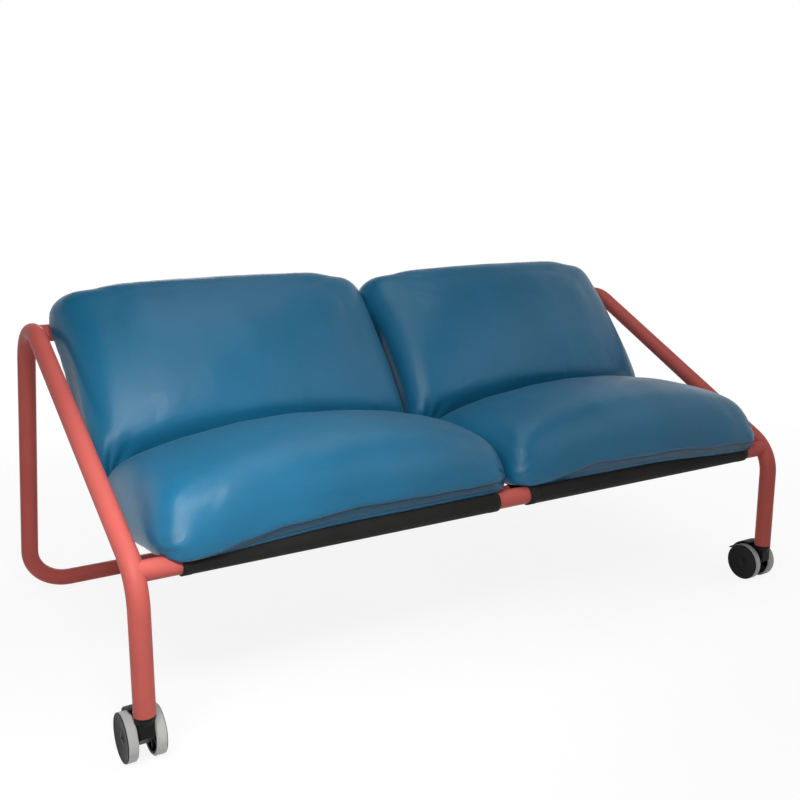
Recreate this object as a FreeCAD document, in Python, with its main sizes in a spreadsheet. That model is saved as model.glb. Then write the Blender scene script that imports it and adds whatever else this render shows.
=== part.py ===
import FreeCAD, Part
import math
import os

import Sketcher
from FreeCAD import Placement, Rotation, Vector

# Two-seat lounge sofa on a bent tube frame.
# The front legs stand on braked twin-wheel casters, the back stands on a floor rail with glides.
# Each seat is a fabric sling between the front rail and the top rail, with a seat and a back cushion.
# Frame: +X along the sofa to the sitter's left, +Y to the back, +Z up, origin on the floor at the middle.

SIZES = (
    # tube frame
    ("side_clearance", 18.5, "cushions' outer ends to the side tubes"),
    ("frame_depth", 810.0, "from the front legs' axis to the rear floor rail's axis"),
    ("tube_diameter", 35.0, "outside diameter of the bent side tubes"),
    ("tube_wall", 2.0, "wall of the side tubes and of the floor rail"),
    ("bend_radius", 87.5, "centre-line radius of every bend"),
    ("leg_end_height", 85.0, "floor to the lower end of the front leg tube"),
    ("front_corner_height", 306.0, "height where leg and diagonal axes meet"),
    ("back_corner_depth", 641.0, "from the front legs' axis to where diagonal and upright axes meet"),
    ("back_corner_height", 651.0, "height where diagonal and upright axes meet"),
    ("rail_diameter", 33.7, "outside diameter of the front and top rails"),
    ("rail_wall", 2.0, "wall of the front and top rails"),
    ("front_rail_turn", 39.0, "degrees round the front bend to the front rail"),
    ("top_rail_turn", 52.0, "degrees round the top bend to the top rail"),
    ("splice_distance", 295.0, "side tube's axis to the seam in the floor rail"),
    ("spigot_length", 80.0, "sleeve inside the floor rail's seam"),
    ("spigot_wall", 2.0, "wall of that sleeve"),
    ("press_gap", 0.02, "radial room of a pressed fit"),
    # floor glides
    ("glide_distance", 90.0, "seam in the floor rail to a glide"),
    ("glide_length", 46.0, "glide along the rail"),
    ("glide_width", 32.0, "glide across the rail"),
    ("glide_height", 9.0, "floor to the glide's side edges"),
    ("glide_base", 3.0, "glide under the rail's lowest line"),
    ("glide_round", 2.0, "rounding of the glide's upright corners"),
    ("peg_diameter", 8.0, "peg that snaps into the rail"),
    ("peg_length", 7.0, "peg above the rail's lowest line"),
    # slings
    ("sling_inner_edge", 37.0, "middle of the sofa to the sling's inner edge"),
    ("sling_margin", 37.0, "cushions' outer ends to the sling's outer edge"),
    ("sling_thickness", 2.5, "sling fabric"),
    ("sleeve_gap", 0.3, "room between rail and sleeve"),
    ("crease_depth", 362.0, "from the front legs' axis to the sling's crease"),
    ("crease_height", 294.0, "height of the sling's crease"),
    ("crease_radius", 40.0, "radius of the sling in its crease"),
    ("closure_start", 56.0, "rail axis to where the flap meets the sheet"),
    ("closure_width", 46.0, "hook-and-loop strip along the flap"),
    ("closure_thickness", 2.0, "hook-and-loop strip between flap and sheet"),
    ("closure_gap", 0.05, "room on both faces of the strip"),
    ("flap_bend", 12.0, "radius where the flap turns along the sheet"),
    # cushions
    ("cushion_gap", 6.0, "between the two seats' cushions at the middle"),
    ("cushion_width", 681.0, "each cushion along the sofa"),
    ("cushion_clearance", 0.5, "cushion to sling and cushion to cushion"),
    ("cover_thickness", 2.0, "cushion cover"),
    ("core_gap", 0.3, "cover to foam core"),
    ("seam_depth", 341.0, "from the front legs' axis to where seat and back cushions meet"),
    ("seat_overhang", 11.0, "seat front before the front legs' axis"),
    ("seat_thickness", 163.0, "seat cushion over the sling at its crown"),
    ("seat_crest", 215.0, "front rail to the seat's crown along the sling"),
    ("seat_crown", 54.0, "fall of the seat's top from crown to ends"),
    ("seat_corner", 55.0, "rounding of the seat's upper end edges"),
    ("seat_front_corner", 46.0, "rounding of the seat's front corners"),
    ("seat_front_bow", 6.0, "fall of the seat's front from the middle to the ends"),
    ("seat_shoulder", 68.0, "seat front to where the top begins"),
    ("seat_lip_depth", 13.0, "seat front to its lower edge, which laps over the sleeve"),
    ("seat_lap", 4.0, "least degrees round the sleeve that the seat laps over it"),
    ("seat_nose_level", 46.0, "sling to the height where the seat's front reaches furthest"),
    ("seat_fall", 22.0, "fall of the seat's top to its front shoulder"),
    ("seat_rear_start", 20.0, "seat's rear face to where its upper edge begins to round"),
    ("seat_rear_fall", 16.0, "fall of the seat's top to that line"),
    ("seat_rear_drop", 54.0, "seat's top to where its rear face is upright"),
    ("seat_rear_bulge", 6.5, "rounded rear edge beyond the chord between those lines"),
    ("under_corner", 12.0, "rounding of the cushions' lower end edges"),
    ("back_length", 459.0, "back cushion from the crease along the sling"),
    ("back_thickness", 140.0, "back cushion over the sling at its crown"),
    ("back_crown", 45.0, "fall of the back's front from crown to ends"),
    ("back_corner", 46.0, "rounding of the back's top corners"),
    ("back_side_corner", 56.0, "rounding of the back's front end edges"),
    ("back_top_bow", 10.0, "fall of the back's top from the middle to the ends"),
    ("back_foot_depth", 38.0, "seam to the back cushion's lower rear edge"),
    ("back_chin_drop", 22.0, "back's front to where it meets the seat"),
    ("back_chin_rise", 30.0, "length of the back's rounded chin along the sling"),
    ("back_chin_fall", 10.0, "back's front to the upper end of its chin"),
    ("back_chin_bulge", 2.5, "rounded chin beyond its chord"),
    ("back_shoulder", 38.0, "back's top to where its front shoulder begins"),
    ("back_shoulder_fall", 30.0, "back's front to that shoulder"),
    ("back_top_level", 74.0, "sling to the back's highest line"),
    ("back_top_rear", 30.0, "back's top to its upper rear edge"),
    # casters
    ("wheel_diameter", 80.0, "over the tread"),
    ("wheel_width", 17.2, "inner to outer face of a wheel"),
    ("wheel_spread", 14.0, "caster's middle plane to a wheel's inner face"),
    ("caster_trail", 28.4, "leg axis to wheel axle"),
    ("tread_depth", 4.0, "soft tread over the wheel's rim"),
    ("tread_round", 2.0, "rounding of the tread's edges"),
    ("flange_drop", 0.6, "outer disc below the tread's surface"),
    ("flange_thickness", 1.2, "outer disc at its edge"),
    ("disc_lip_width", 3.0, "flat ring round the outer disc"),
    ("lip_slope_width", 1.0, "slope from that ring to the dish"),
    ("disc_dish", 3.0, "depth of the outer disc's dish"),
    ("web_thickness", 5.0, "wheel's web behind the dish"),
    ("rim_wall", 3.0, "wheel's rim under the tread"),
    ("rim_inset", 1.0, "rim behind the tread's inner face"),
    ("hub_diameter", 18.0, "wheel's hub"),
    ("cap_diameter", 29.0, "hub cap"),
    ("cap_height", 3.0, "hub cap's dome"),
    ("cap_plug_length", 2.5, "hub cap's plug in the bore"),
    ("cap_gap", 0.2, "hub cap's edge to the dish's slope"),
    ("rib_count", 6, "ribs on the wheel's inner side"),
    ("rib_width", 4.0, "each rib"),
    ("rib_inset", 3.0, "ribs behind the tread's inner face"),
    ("rib_root", 1.0, "ribs' ends inside hub, web and rim"),
    ("axle_diameter", 8.0, "wheel axle"),
    ("axle_gap", 0.6, "axle end to hub cap plug"),
    ("running_gap", 0.05, "radial room of a turning fit"),
    ("side_gap", 0.3, "room beside and above a turning piece"),
    ("stem_diameter", 11.0, "caster stem"),
    ("stem_grip", 45.0, "stem inside the leg"),
    ("stem_depth", 30.0, "stem inside the caster's neck"),
    ("stem_chamfer", 1.5, "chamfer of the stem's ends"),
    ("socket_flange_height", 2.0, "socket's rim below the leg tube"),
    ("yoke_width", 24.0, "caster body between the wheels"),
    ("yoke_bottom", 28.0, "floor to the caster body's lower face"),
    ("neck_height", 2.0, "round part of the caster's neck"),
    ("neck_taper", 11.0, "height over which the neck narrows"),
    ("neck_lip_width", 1.0, "neck's narrow end beyond the bracket"),
    ("yoke_sink", 4.0, "bracket inside the neck"),
    ("yoke_chin", 22.0, "lower face to the end of the bracket's upright front"),
    ("yoke_toe", 14.0, "axle to the lower face's front end"),
    ("yoke_heel", 9.0, "axle to the lower face's rear end"),
    ("yoke_rear", 10.5, "axle to the bracket's rear corner, to the back"),
    ("yoke_rear_height", 26.0, "lower face to that corner"),
    ("yoke_shoulder", 2.0, "axle to the bracket's upper rear corner, to the back and below the neck"),
    ("yoke_round", 2.0, "rounding of the caster body's edges"),
    ("tail_width", 12.0, "lug that carries the brake's pin"),
    ("tail_foot", 10.0, "axle to the lug's lower root, upwards"),
    ("tail_root", 2.0, "axle to the lug's upper root, to the front"),
    ("tail_drop", 4.0, "lug's upper root below the neck"),
    ("brake_pin_diameter", 5.0, "brake's pin"),
    ("brake_pin_back", 17.6, "axle to brake pin, to the back"),
    ("brake_pin_up", 22.0, "axle to brake pin, upwards"),
    ("brake_boss", 10.0, "diameter of lug and cheeks round the pin"),
    ("boss_wrap", 80.0, "degrees of that round on each side of its middle"),
    ("pedal_clearance", 3.0, "tread to the brake plate at rest"),
    ("pedal_thickness", 3.0, "brake plate"),
    ("pedal_width", 36.0, "brake plate across the wheels"),
    ("pedal_front_angle", 98.0, "degrees over the axle to the plate's front edge"),
    ("pedal_rear_angle", 36.0, "degrees over the axle to the plate's rear edge"),
    ("tab_width", 22.0, "foot tab"),
    ("tab_reach", 57.0, "axle to the tab's tip"),
    ("tab_angle", 17.0, "degrees over the axle to the tab's tip"),
    ("tab_root", 4.0, "degrees from the plate's rear edge to the tab's root"),
    ("tab_thickness", 5.0, "tab's tip, measured towards the axle"),
    ("root_sink", 0.3, "tab's root and cheeks' tops inside the plate"),
    ("cheek_thickness", 3.6, "cheeks beside the lug"),
    ("cheek_rear_angle", 42.0, "degrees over the axle to the cheeks' rear edge"),
    ("cheek_front_angle", 64.0, "degrees over the axle to the cheeks' front edge"),
    ("slot_angle", 5.0, "degrees of the slot beyond the cheeks' edges"),
    ("slot_room", 10.0, "slot beyond the boss"),
)

doc = FreeCAD.newDocument("lounge_sofa")
sheet = doc.addObject("Spreadsheet::Sheet", "Sizes")
for row, (alias, number, meaning) in enumerate(SIZES, start=1):
    sheet.set("A%d" % row, meaning)
    sheet.set("B%d" % row, str(number))
    sheet.setAlias("B%d" % row, alias)
doc.recompute()

SIDES = (("left", -1), ("right", 1))
CUSHION_END = "(Sizes.cushion_gap / 2 + Sizes.cushion_width)"
SIDE_X = "(%s + Sizes.side_clearance + Sizes.tube_diameter / 2)" % CUSHION_END
SEAM_X = "(%s - Sizes.splice_distance)" % SIDE_X
GLIDE_X = "(%s - Sizes.glide_distance)" % SEAM_X
parts = []


def size(alias):
    return float(sheet.get(alias))


def value_of(expression):
    return float(sheet.evalExpression(expression))


def keep(obj, label):
    """List a finished sub-part under the name of its file."""
    obj.Label = label
    parts.append(obj)
    return obj


def solid_feature(label, shape, place=Placement()):
    """A sub-part whose shape comes from Part's own functions."""
    obj = doc.addObject("Part::Feature", label)
    obj.Shape = shape
    obj.Placement = place
    return obj


def at(obj, x, y, z, turn=0.0):
    """Bind a sub-part's place to the sheet; turn is about the vertical."""
    obj.Placement = Placement(Vector(value_of(x), value_of(y), value_of(z)), Rotation(Vector(0, 0, 1), turn))
    for axis, expression in (("x", x), ("y", y), ("z", z)):
        obj.setExpression("Placement.Base." + axis, expression)
    return obj


# Sketches and features of the bodies

def origin_feature(body, role):
    return next(item for item in body.Origin.OriginFeatures if item.Role == role)


def new_sketch(body, role, name):
    sketch = body.newObject("Sketcher::SketchObject", name)
    sketch.AttachmentSupport = [(origin_feature(body, role), "")]
    sketch.MapMode = "FlatFace"
    return sketch


def pin_point(sketch, index, end, x, y):
    """Tie a point of the sketch to two expressions."""
    for kind, expression in (("DistanceX", x), ("DistanceY", y)):
        rule = Sketcher.Constraint(kind, -1, 1, index, end, value_of(expression))
        number = sketch.addConstraint(rule)
        sketch.setExpression("Constraints[%d]" % number, expression)


def outline(body, role, name, corners):
    """Closed outline; each corner is (x, y) or (x, y, radius) where an arc leads to the next corner.

    A positive radius bulges to the right of the way round, a negative one to the left."""
    sketch = new_sketch(body, role, name)
    points = [Vector(value_of(c[0]), value_of(c[1]), 0) for c in corners]
    following = points[1:] + points[:1]
    for index, (corner, start, end) in enumerate(zip(corners, points, following)):
        if len(corner) == 2:
            sketch.addGeometry(Part.LineSegment(start, end), False)
            pin_point(sketch, index, 1, corner[0], corner[1])
            continue
        radius = value_of(corner[2])
        chord = end - start
        across = Vector(chord.y, -chord.x, 0).normalize() * math.copysign(1, radius)
        drop = abs(radius) - math.sqrt(radius ** 2 - (chord.Length / 2) ** 2)
        sketch.addGeometry(Part.Arc(start, (start + end) / 2 + across * drop, end), False)
        first = 1 if sketch.getPoint(index, 1).distanceToPoint(start) < 1e-6 else 2
        pin_point(sketch, index, first, corner[0], corner[1])
        number = sketch.addConstraint(Sketcher.Constraint("Radius", index, abs(radius)))
        sketch.setExpression("Constraints[%d]" % number, "abs(%s)" % corner[2])
    count = len(corners)
    for index in range(count):
        after = (index + 1) % count
        ends = []
        for number in (index, after):
            near = sketch.getPoint(number, 1).distanceToPoint(following[index]) < 1e-6
            ends += [number, 1 if near else 2]
        sketch.addConstraint(Sketcher.Constraint("Coincident", *ends))
    return sketch


def round_point(x, y, radius, angle):
    """Expressions of a point at a radius and an angle in degrees round a centre."""
    return ("%s + (%s) * cos(%s * 1 deg)" % (x, radius, angle),
            "%s + (%s) * sin(%s * 1 deg)" % (y, radius, angle))


def circle(body, role, name, x, y, diameter):
    sketch = new_sketch(body, role, name)
    sketch.addGeometry(Part.Circle(Vector(value_of(x), value_of(y), 0), Vector(0, 0, 1),
                                   value_of(diameter) / 2), False)
    pin_point(sketch, 0, 3, x, y)
    number = sketch.addConstraint(Sketcher.Constraint("Diameter", 0, value_of(diameter)))
    sketch.setExpression("Constraints[%d]" % number, diameter)
    return sketch


def revolve(body, name, corners, axis):
    """Turn an outline in the XZ plane round the body's X or Z axis."""
    sketch = outline(body, "XZ_Plane", name + "_outline", corners)
    feature = body.newObject("PartDesign::Revolution", name)
    feature.Profile = sketch
    feature.ReferenceAxis = (origin_feature(body, axis), [""])
    feature.Angle = 360
    return feature


def pad(body, name, sketch, length):
    """Add the sketch on both sides of its plane."""
    feature = body.newObject("PartDesign::Pad", name)
    feature.Profile = sketch
    feature.Midplane = True
    feature.setExpression("Length", length)
    return feature


def pocket(body, name, sketch, length):
    """Cut the sketch on both sides of its plane and make sure that it cuts."""
    before = solid_of(body).Volume
    feature = body.newObject("PartDesign::Pocket", name)
    feature.Profile = sketch
    feature.Midplane = True
    feature.setExpression("Length", length)
    if solid_of(body).Volume >= before:
        raise RuntimeError(name + " cuts nothing")
    return feature


def solid_of(body):
    doc.recompute()
    return body.Shape


def round_edges(body, name, radius, wanted):
    """Round the edges of the body that the test picks."""
    base = body.Tip
    edges = solid_of(body).Edges
    picked = ["Edge%d" % number for number, edge in enumerate(edges, start=1) if wanted(edge)]
    feature = body.newObject("PartDesign::Fillet", name)
    feature.Base = (base, picked)
    feature.setExpression("Radius", radius)
    return feature


# Bent tubes

def in_side_plane(depth, height):
    """A point of the side view, its depth counted from the front legs' axis."""
    return Vector(0, depth - size("frame_depth") / 2, height)


def bend(before, corner, after):
    """Centre, first point, middle and last point of a bend, and the angle that it turns."""
    radius = size("bend_radius")
    inward = (before - corner).normalize()
    onward = (after - corner).normalize()
    half = inward.getAngle(onward) / 2
    middle_way = (inward + onward).normalize()
    centre = corner + middle_way * (radius / math.sin(half))
    first = corner + inward * (radius / math.tan(half))
    last = corner + onward * (radius / math.tan(half))
    return centre, first, centre - middle_way * radius, last, math.pi - 2 * half


def bent_path(corners):
    edges = []
    start = corners[0]
    for before, corner, after in zip(corners, corners[1:], corners[2:]):
        centre, first, middle, last, turn = bend(before, corner, after)
        edges.append(Part.LineSegment(start, first).toShape())
        edges.append(Part.Arc(first, middle, last).toShape())
        start = last
    edges.append(Part.LineSegment(start, corners[-1]).toShape())
    return Part.Wire(edges)


def swept(path, radii):
    """Sweep rings of the given radii along the path."""
    first = path.Edges[0]
    along = first.tangentAt(first.FirstParameter)
    rings = [Part.Wire(Part.makeCircle(radius, first.Vertexes[0].Point, along)) for radius in radii]
    return path.makePipe(Part.makeFace(rings, "Part::FaceMakerBullseye"))


rail_axis_height = size("tube_diameter") / 2 + size("glide_base")
leg_foot = in_side_plane(0, size("leg_end_height"))
front_corner = in_side_plane(0, size("front_corner_height"))
back_corner = in_side_plane(size("back_corner_depth"), size("back_corner_height"))
floor_corner = in_side_plane(size("frame_depth"), rail_axis_height)


def on_bend(before, corner, after, turn):
    """The point that lies the given degrees round a bend of the side view."""
    centre, first, middle, last, whole = bend(before, corner, after)
    spin = Rotation(Vector(1, 0, 0), -turn)
    return centre + spin.multVec(first - centre)


front_axis = on_bend(leg_foot, front_corner, back_corner, size("front_rail_turn"))
top_axis = on_bend(front_corner, back_corner, floor_corner, size("top_rail_turn"))


def side_tube(name, side):
    """A leg, diagonal and upright in one bent tube, which turns inwards along the floor at the back."""
    across = Vector(side * value_of(SIDE_X), 0, 0)
    seam = Vector(side * value_of(SEAM_X), floor_corner.y, floor_corner.z)
    path = bent_path([leg_foot + across, front_corner + across, back_corner + across,
                      floor_corner + across, seam])
    outer = size("tube_diameter") / 2
    keep(solid_feature(name + "_tube", swept(path, [outer, outer - size("tube_wall")])), name + "_side_tube")
    return solid_feature(name + "_outside", swept(path, [outer]))


def tube_along_x(name, diameter, wall, length):
    """A straight tube whose middle is at its origin."""
    cylinders = []
    for suffix, inset in (("outside", "0"), ("inside", wall)):
        item = doc.addObject("Part::Cylinder", name + "_" + suffix)
        item.setExpression("Radius", "%s / 2 - %s" % (diameter, inset))
        item.setExpression("Height", length)
        item.Placement = Placement(Vector(-value_of(length) / 2, 0, 0), Rotation(Vector(0, 1, 0), 90))
        item.setExpression("Placement.Base.x", "-(%s) / 2" % length)
        cylinders.append(item)
    tube = doc.addObject("Part::Cut", name + "_bare")
    tube.Base, tube.Tool = cylinders
    return tube


def cut_from(name, base, tool):
    result = doc.addObject("Part::Cut", name)
    result.Base = base
    result.Tool = tool
    return result


def frame_tubes():
    outsides = [side_tube(name, side) for name, side in SIDES]
    for label, axis in (("front_rail", front_axis), ("top_rail", top_axis)):
        rail = tube_along_x(label, "Sizes.rail_diameter", "Sizes.rail_wall", "2 * " + SIDE_X)
        rail.Placement = Placement(axis, Rotation())
        left_cut = cut_from(label + "_left_saddle", rail, outsides[0])
        keep(cut_from(label + "_saddles", left_cut, outsides[1]), label)
    rail = tube_along_x("floor_rail", "Sizes.tube_diameter", "Sizes.tube_wall", "2 * " + SEAM_X)
    at(rail, "0", "Sizes.frame_depth / 2", "Sizes.tube_diameter / 2 + Sizes.glide_base")
    for name, side in SIDES:
        hole = doc.addObject("Part::Cylinder", name + "_peg_hole")
        hole.setExpression("Radius", "Sizes.peg_diameter / 2 + Sizes.press_gap")
        hole.setExpression("Height", "Sizes.tube_diameter / 2")
        at(hole, "%d * %s" % (side, GLIDE_X), "Sizes.frame_depth / 2", "Sizes.glide_base")
        rail = cut_from(name + "_drilled_rail", rail, hole)
        inside = "(Sizes.tube_diameter - 2 * Sizes.tube_wall - 2 * Sizes.press_gap)"
        spigot = tube_along_x(name + "_spigot", inside, "Sizes.spigot_wall", "Sizes.spigot_length")
        at(spigot, "%d * %s" % (side, SEAM_X), "Sizes.frame_depth / 2",
           "Sizes.tube_diameter / 2 + Sizes.glide_base")
        keep(spigot, name + "_splice_spigot")
    keep(rail, "rear_floor_rail")


def glide(name, side):
    """A moulded saddle under the floor rail, with a peg in the rail's hole."""
    body = doc.addObject("PartDesign::Body", name + "_glide")
    hollow = "(Sizes.tube_diameter / 2 + Sizes.press_gap)"
    axis = "(Sizes.tube_diameter / 2 + Sizes.glide_base)"
    reach = "sqrt(%s ^ 2 - (%s - Sizes.glide_height) ^ 2)" % (hollow, axis)
    half = "Sizes.glide_width / 2"
    section = outline(body, "YZ_Plane", "saddle", [
        ("-" + half, "0"), (half, "0"), (half, "Sizes.glide_height"),
        (reach, "Sizes.glide_height", "-" + hollow), ("-" + reach, "Sizes.glide_height"),
        ("-" + half, "Sizes.glide_height")])
    pad(body, "block", section, "Sizes.glide_length")
    peg = body.newObject("PartDesign::Pad", "peg")
    peg.Profile = circle(body, "XY_Plane", "peg_round", "0", "0", "Sizes.peg_diameter")
    peg.setExpression("Length", "Sizes.glide_base + Sizes.peg_length")
    corner = size("glide_length") / 2
    round_edges(body, "soft_corners", "Sizes.glide_round", lambda edge: (
        abs(abs(edge.CenterOfMass.x) - corner) < 1e-6
        and abs(edge.BoundBox.ZLength - size("glide_height")) < 1e-6
        and edge.BoundBox.YLength < 1e-6))
    keep(at(body, "%d * %s" % (side, GLIDE_X), "Sizes.frame_depth / 2", "0"), name + "_rear_glide")


# Slings: one strip of fabric that is sleeved on both rails

class SideFrame:
    """Two axes in the side view, u along a sheet and v away from it, on the cushion's side."""

    def __init__(self, origin, angle, forward):
        self.origin = origin
        self.u = Vector(0, math.cos(angle), math.sin(angle)) * forward
        self.v = Vector(0, -math.sin(angle), math.cos(angle))

    def point(self, u, v):
        return self.origin + self.u * u + self.v * v


sleeve_radius = size("rail_diameter") / 2 + size("sleeve_gap") + size("sling_thickness") / 2
crease = in_side_plane(size("crease_depth"), size("crease_height"))
to_crease = crease - front_axis
to_top = top_axis - crease
seat_angle = math.atan2(to_crease.z, to_crease.y) - math.asin(sleeve_radius / to_crease.Length)
back_angle = math.atan2(to_top.z, to_top.y) + math.asin(sleeve_radius / to_top.Length)
seat_frame = SideFrame(front_axis, seat_angle, 1)
top_frame = SideFrame(top_axis, back_angle, -1)
back_frame = SideFrame(crease, back_angle, 1)


def polar(radius, angle):
    return radius * math.cos(angle), radius * math.sin(angle)


flap_level = (sleeve_radius - size("sling_thickness") - size("closure_thickness")
              - 2 * size("closure_gap"))


def sleeve(frame):
    """Path round a rail from the sheet to the flap's end: tuples of two points, or three for an arc."""
    knee_u = size("closure_start")
    reach = math.hypot(knee_u, flap_level)
    leaves = math.atan2(flap_level, knee_u) - math.acos(sleeve_radius / reach) + 2 * math.pi
    starts = math.pi / 2
    turns = [starts + (leaves - starts) * step / 4 for step in range(5)]
    ring = [frame.point(*polar(sleeve_radius, turn)) for turn in turns]
    slope = leaves - 1.5 * math.pi
    setback = size("flap_bend") * math.tan(slope / 2)
    knee_in = frame.point(knee_u - setback * math.cos(slope), flap_level - setback * math.sin(slope))
    knee_out = frame.point(knee_u + setback, flap_level)
    centre_u, centre_v = knee_u + setback, flap_level - size("flap_bend")
    knee_mid = frame.point(centre_u - size("flap_bend") * math.sin(slope / 2),
                           centre_v + size("flap_bend") * math.cos(slope / 2))
    end = frame.point(knee_u + setback + size("closure_width"), flap_level)
    return [tuple(ring[0:3]), tuple(ring[2:5]), (ring[4], knee_in), (knee_in, knee_mid, knee_out),
            (knee_out, end)]


def sling_path():
    front = [item[::-1] for item in sleeve(seat_frame)[::-1]]
    back = sleeve(top_frame)
    half = (back_angle - seat_angle) / 2
    setback = size("crease_radius") * math.tan(half)
    first = crease - seat_frame.u * setback
    last = crease + back_frame.u * setback
    inward = (seat_frame.v + back_frame.v).normalize()
    middle = crease + inward * (size("crease_radius") / math.cos(half) - size("crease_radius"))
    return (front + [(front[-1][-1], first), (first, middle, last), (last, back[0][0])] + back)


def moved_aside(item, distance):
    """A piece of a path, moved to its left by the distance."""
    if len(item) == 2:
        step = Vector(1, 0, 0).cross(item[1] - item[0]).normalize() * distance
        return tuple(point + step for point in item)
    centre = edge_through(item).Curve.Center
    left_turn = (item[1] - item[0]).cross(item[2] - item[1]).x > 0
    change = -distance if left_turn else distance
    return tuple(point + (point - centre).normalize() * change for point in item)


def edge_through(points):
    if len(points) == 2:
        return Part.LineSegment(*points).toShape()
    return Part.Arc(*points).toShape()


def strip_face(path, thickness):
    """The cross-section of a strip of fabric that follows the path."""
    left = [moved_aside(item, thickness / 2) for item in path]
    right = [moved_aside(item, -thickness / 2)[::-1] for item in path[::-1]]
    caps = [(left[-1][-1], right[0][0]), (right[-1][-1], left[0][0])]
    return Part.Face(Part.Wire([edge_through(item) for item in left + caps[:1] + right + caps[1:]]))


def slings():
    outer_edge = value_of(CUSHION_END) - size("sling_margin")
    width = outer_edge - size("sling_inner_edge")
    sling = strip_face(sling_path(), size("sling_thickness")).extrude(Vector(width, 0, 0))
    starts = {"left": -outer_edge, "right": size("sling_inner_edge")}
    for name, side in SIDES:
        place = Placement(Vector(starts[name], 0, 0), Rotation())
        keep(solid_feature(name + "_cloth", sling, place), name + "_sling")
        for end, frame in (("front", seat_frame), ("top", top_frame)):
            low = flap_level + size("sling_thickness") / 2 + size("closure_gap")
            first = size("closure_start") + size("flap_bend") / 2
            last = first + size("closure_width") - size("flap_bend") / 2
            corners = [frame.point(u, v) for u, v in (
                (first, low), (last, low), (last, low + size("closure_thickness")),
                (first, low + size("closure_thickness")))]
            face = Part.Face(Part.makePolygon(corners + corners[:1]))
            strip = face.extrude(Vector(width, 0, 0))
            keep(solid_feature("%s_%s_strip" % (name, end), strip, place),
                 "%s_%s_closure" % (name, end))


# Cushions: lofts through cross-sections along the sofa

def rounding(distance, radius):
    """Fall of a rounded edge at a distance from the cushion's end."""
    inside = max(radius - distance, 0.0)
    return radius - math.sqrt(radius ** 2 - inside ** 2)


def fall(distance, crown, corner):
    """Fall of a crowned face with a rounded edge at a distance from the cushion's end."""
    half = size("cushion_width") / 2
    return crown * (1 - distance / half) ** 2 + rounding(distance, corner)


# Sections of a cushion: degrees round its end's rounding, then even steps to its middle
CORNER_TURNS = (0, 30, 50, 70, 90)
CROWN_STEPS = 3
cushion_bed = sleeve_radius + size("sling_thickness") / 2 + size("cushion_clearance")


def closed_section(points, arcs):
    """Wire through the points; an entry of arcs is None or a point of the arc to the next point."""
    edges = []
    for start, end, through in zip(points, points[1:] + points[:1], arcs):
        edges.append(edge_through((start, end) if through is None else (start, through, end)))
    return Part.Wire(edges)


def bulged(start, end, bulge):
    """The middle of an arc that stands out to the left of its chord."""
    outward = Vector(1, 0, 0).cross(end - start).normalize()
    return (start + end) / 2 + outward * bulge


def seat_section(distance, inset):
    """Side view of a seat cushion at a distance from its end."""
    bed = cushion_bed + rounding(distance, size("under_corner")) + inset
    crown_fall = fall(distance, size("seat_crown"), size("seat_corner"))
    top = sleeve_radius + size("seat_thickness") - crown_fall - inset
    share = (top - bed) / size("seat_thickness")
    front_set = fall(distance, size("seat_front_bow"), size("seat_front_corner"))
    front = in_side_plane(front_set + inset - size("seat_overhang"), 0).y - front_axis.y
    rear_y = in_side_plane(size("seam_depth"), 0).y - inset - size("cushion_clearance") / 2
    rear = (rear_y - front_axis.y) / math.cos(seat_angle)
    rear_top = seat_frame.point(rear, top).z
    edge_start = Vector(0, rear_y - size("seat_rear_start") * share,
                        rear_top - size("seat_rear_fall") * share)
    edge_end = Vector(0, rear_y, rear_top - size("seat_rear_drop") * share)
    lip = front + size("seat_lip_depth") * share
    lap_axis = max(0.0, lip + bed * math.sin(math.radians(size("seat_lap"))))
    lap = math.asin((lap_axis - lip) / bed)
    lap_start, lap_middle, lap_end = (
        seat_frame.point(lap_axis - bed * math.sin(turn), bed * math.cos(turn)) for turn in (0, lap / 2, lap))
    shoulder = seat_frame.point(front + size("seat_shoulder") * share, top - size("seat_fall") * share)
    rear_foot = Vector(0, rear_y, seat_frame.point(rear, bed).z)
    points = [lap_end, shoulder, edge_start, edge_end, rear_foot, lap_start]
    through = [seat_frame.point(front, bed + size("seat_nose_level") * share),
               seat_frame.point(size("seat_crest"), top),
               bulged(edge_start, edge_end, size("seat_rear_bulge") * share), None, None, lap_middle]
    return closed_section(points, through)


def back_foot():
    """Way up the sling from the crease to the back's lower rear edge."""
    return (size("seam_depth") - size("crease_depth") + size("back_foot_depth")) / math.cos(back_angle)


def back_lean():
    """Slope of the back's lower face, which leads from its foot to the seam with the seat."""
    chin = size("back_thickness") - size("back_chin_drop")
    seam = size("seam_depth") - size("crease_depth") + size("cushion_clearance") / 2
    start = (seam + chin * math.sin(back_angle)) / math.cos(back_angle)
    return (start - back_foot()) / chin


def back_section(distance, inset):
    """Side view of a back cushion at a distance from its end."""
    rear = (size("sling_thickness") / 2 + size("cushion_clearance") + inset
            + rounding(distance, size("under_corner")))
    front = size("back_thickness") - fall(distance, size("back_crown"), size("back_side_corner")) - inset
    top = size("back_length") - fall(distance, size("back_top_bow"), size("back_corner")) - inset
    share = (front - rear) / size("back_thickness")
    chin = front - size("back_chin_drop") * share
    lean = back_lean()
    under = back_foot() + inset * math.hypot(1, lean)
    start = under + lean * chin
    place = back_frame.point
    chin_start = place(start, chin)
    chin_end = place(start + size("back_chin_rise") * share, front - size("back_chin_fall") * share)
    points = [place(under + lean * rear, rear), chin_start, chin_end,
              place(top - size("back_shoulder") * share, front - size("back_shoulder_fall") * share),
              place(top - size("back_top_rear") * share, rear)]
    through = [None, bulged(chin_start, chin_end, size("back_chin_bulge") * share),
               place((start + top) / 2, front), place(top, rear + size("back_top_level") * share), None]
    return closed_section(points, through)


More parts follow.
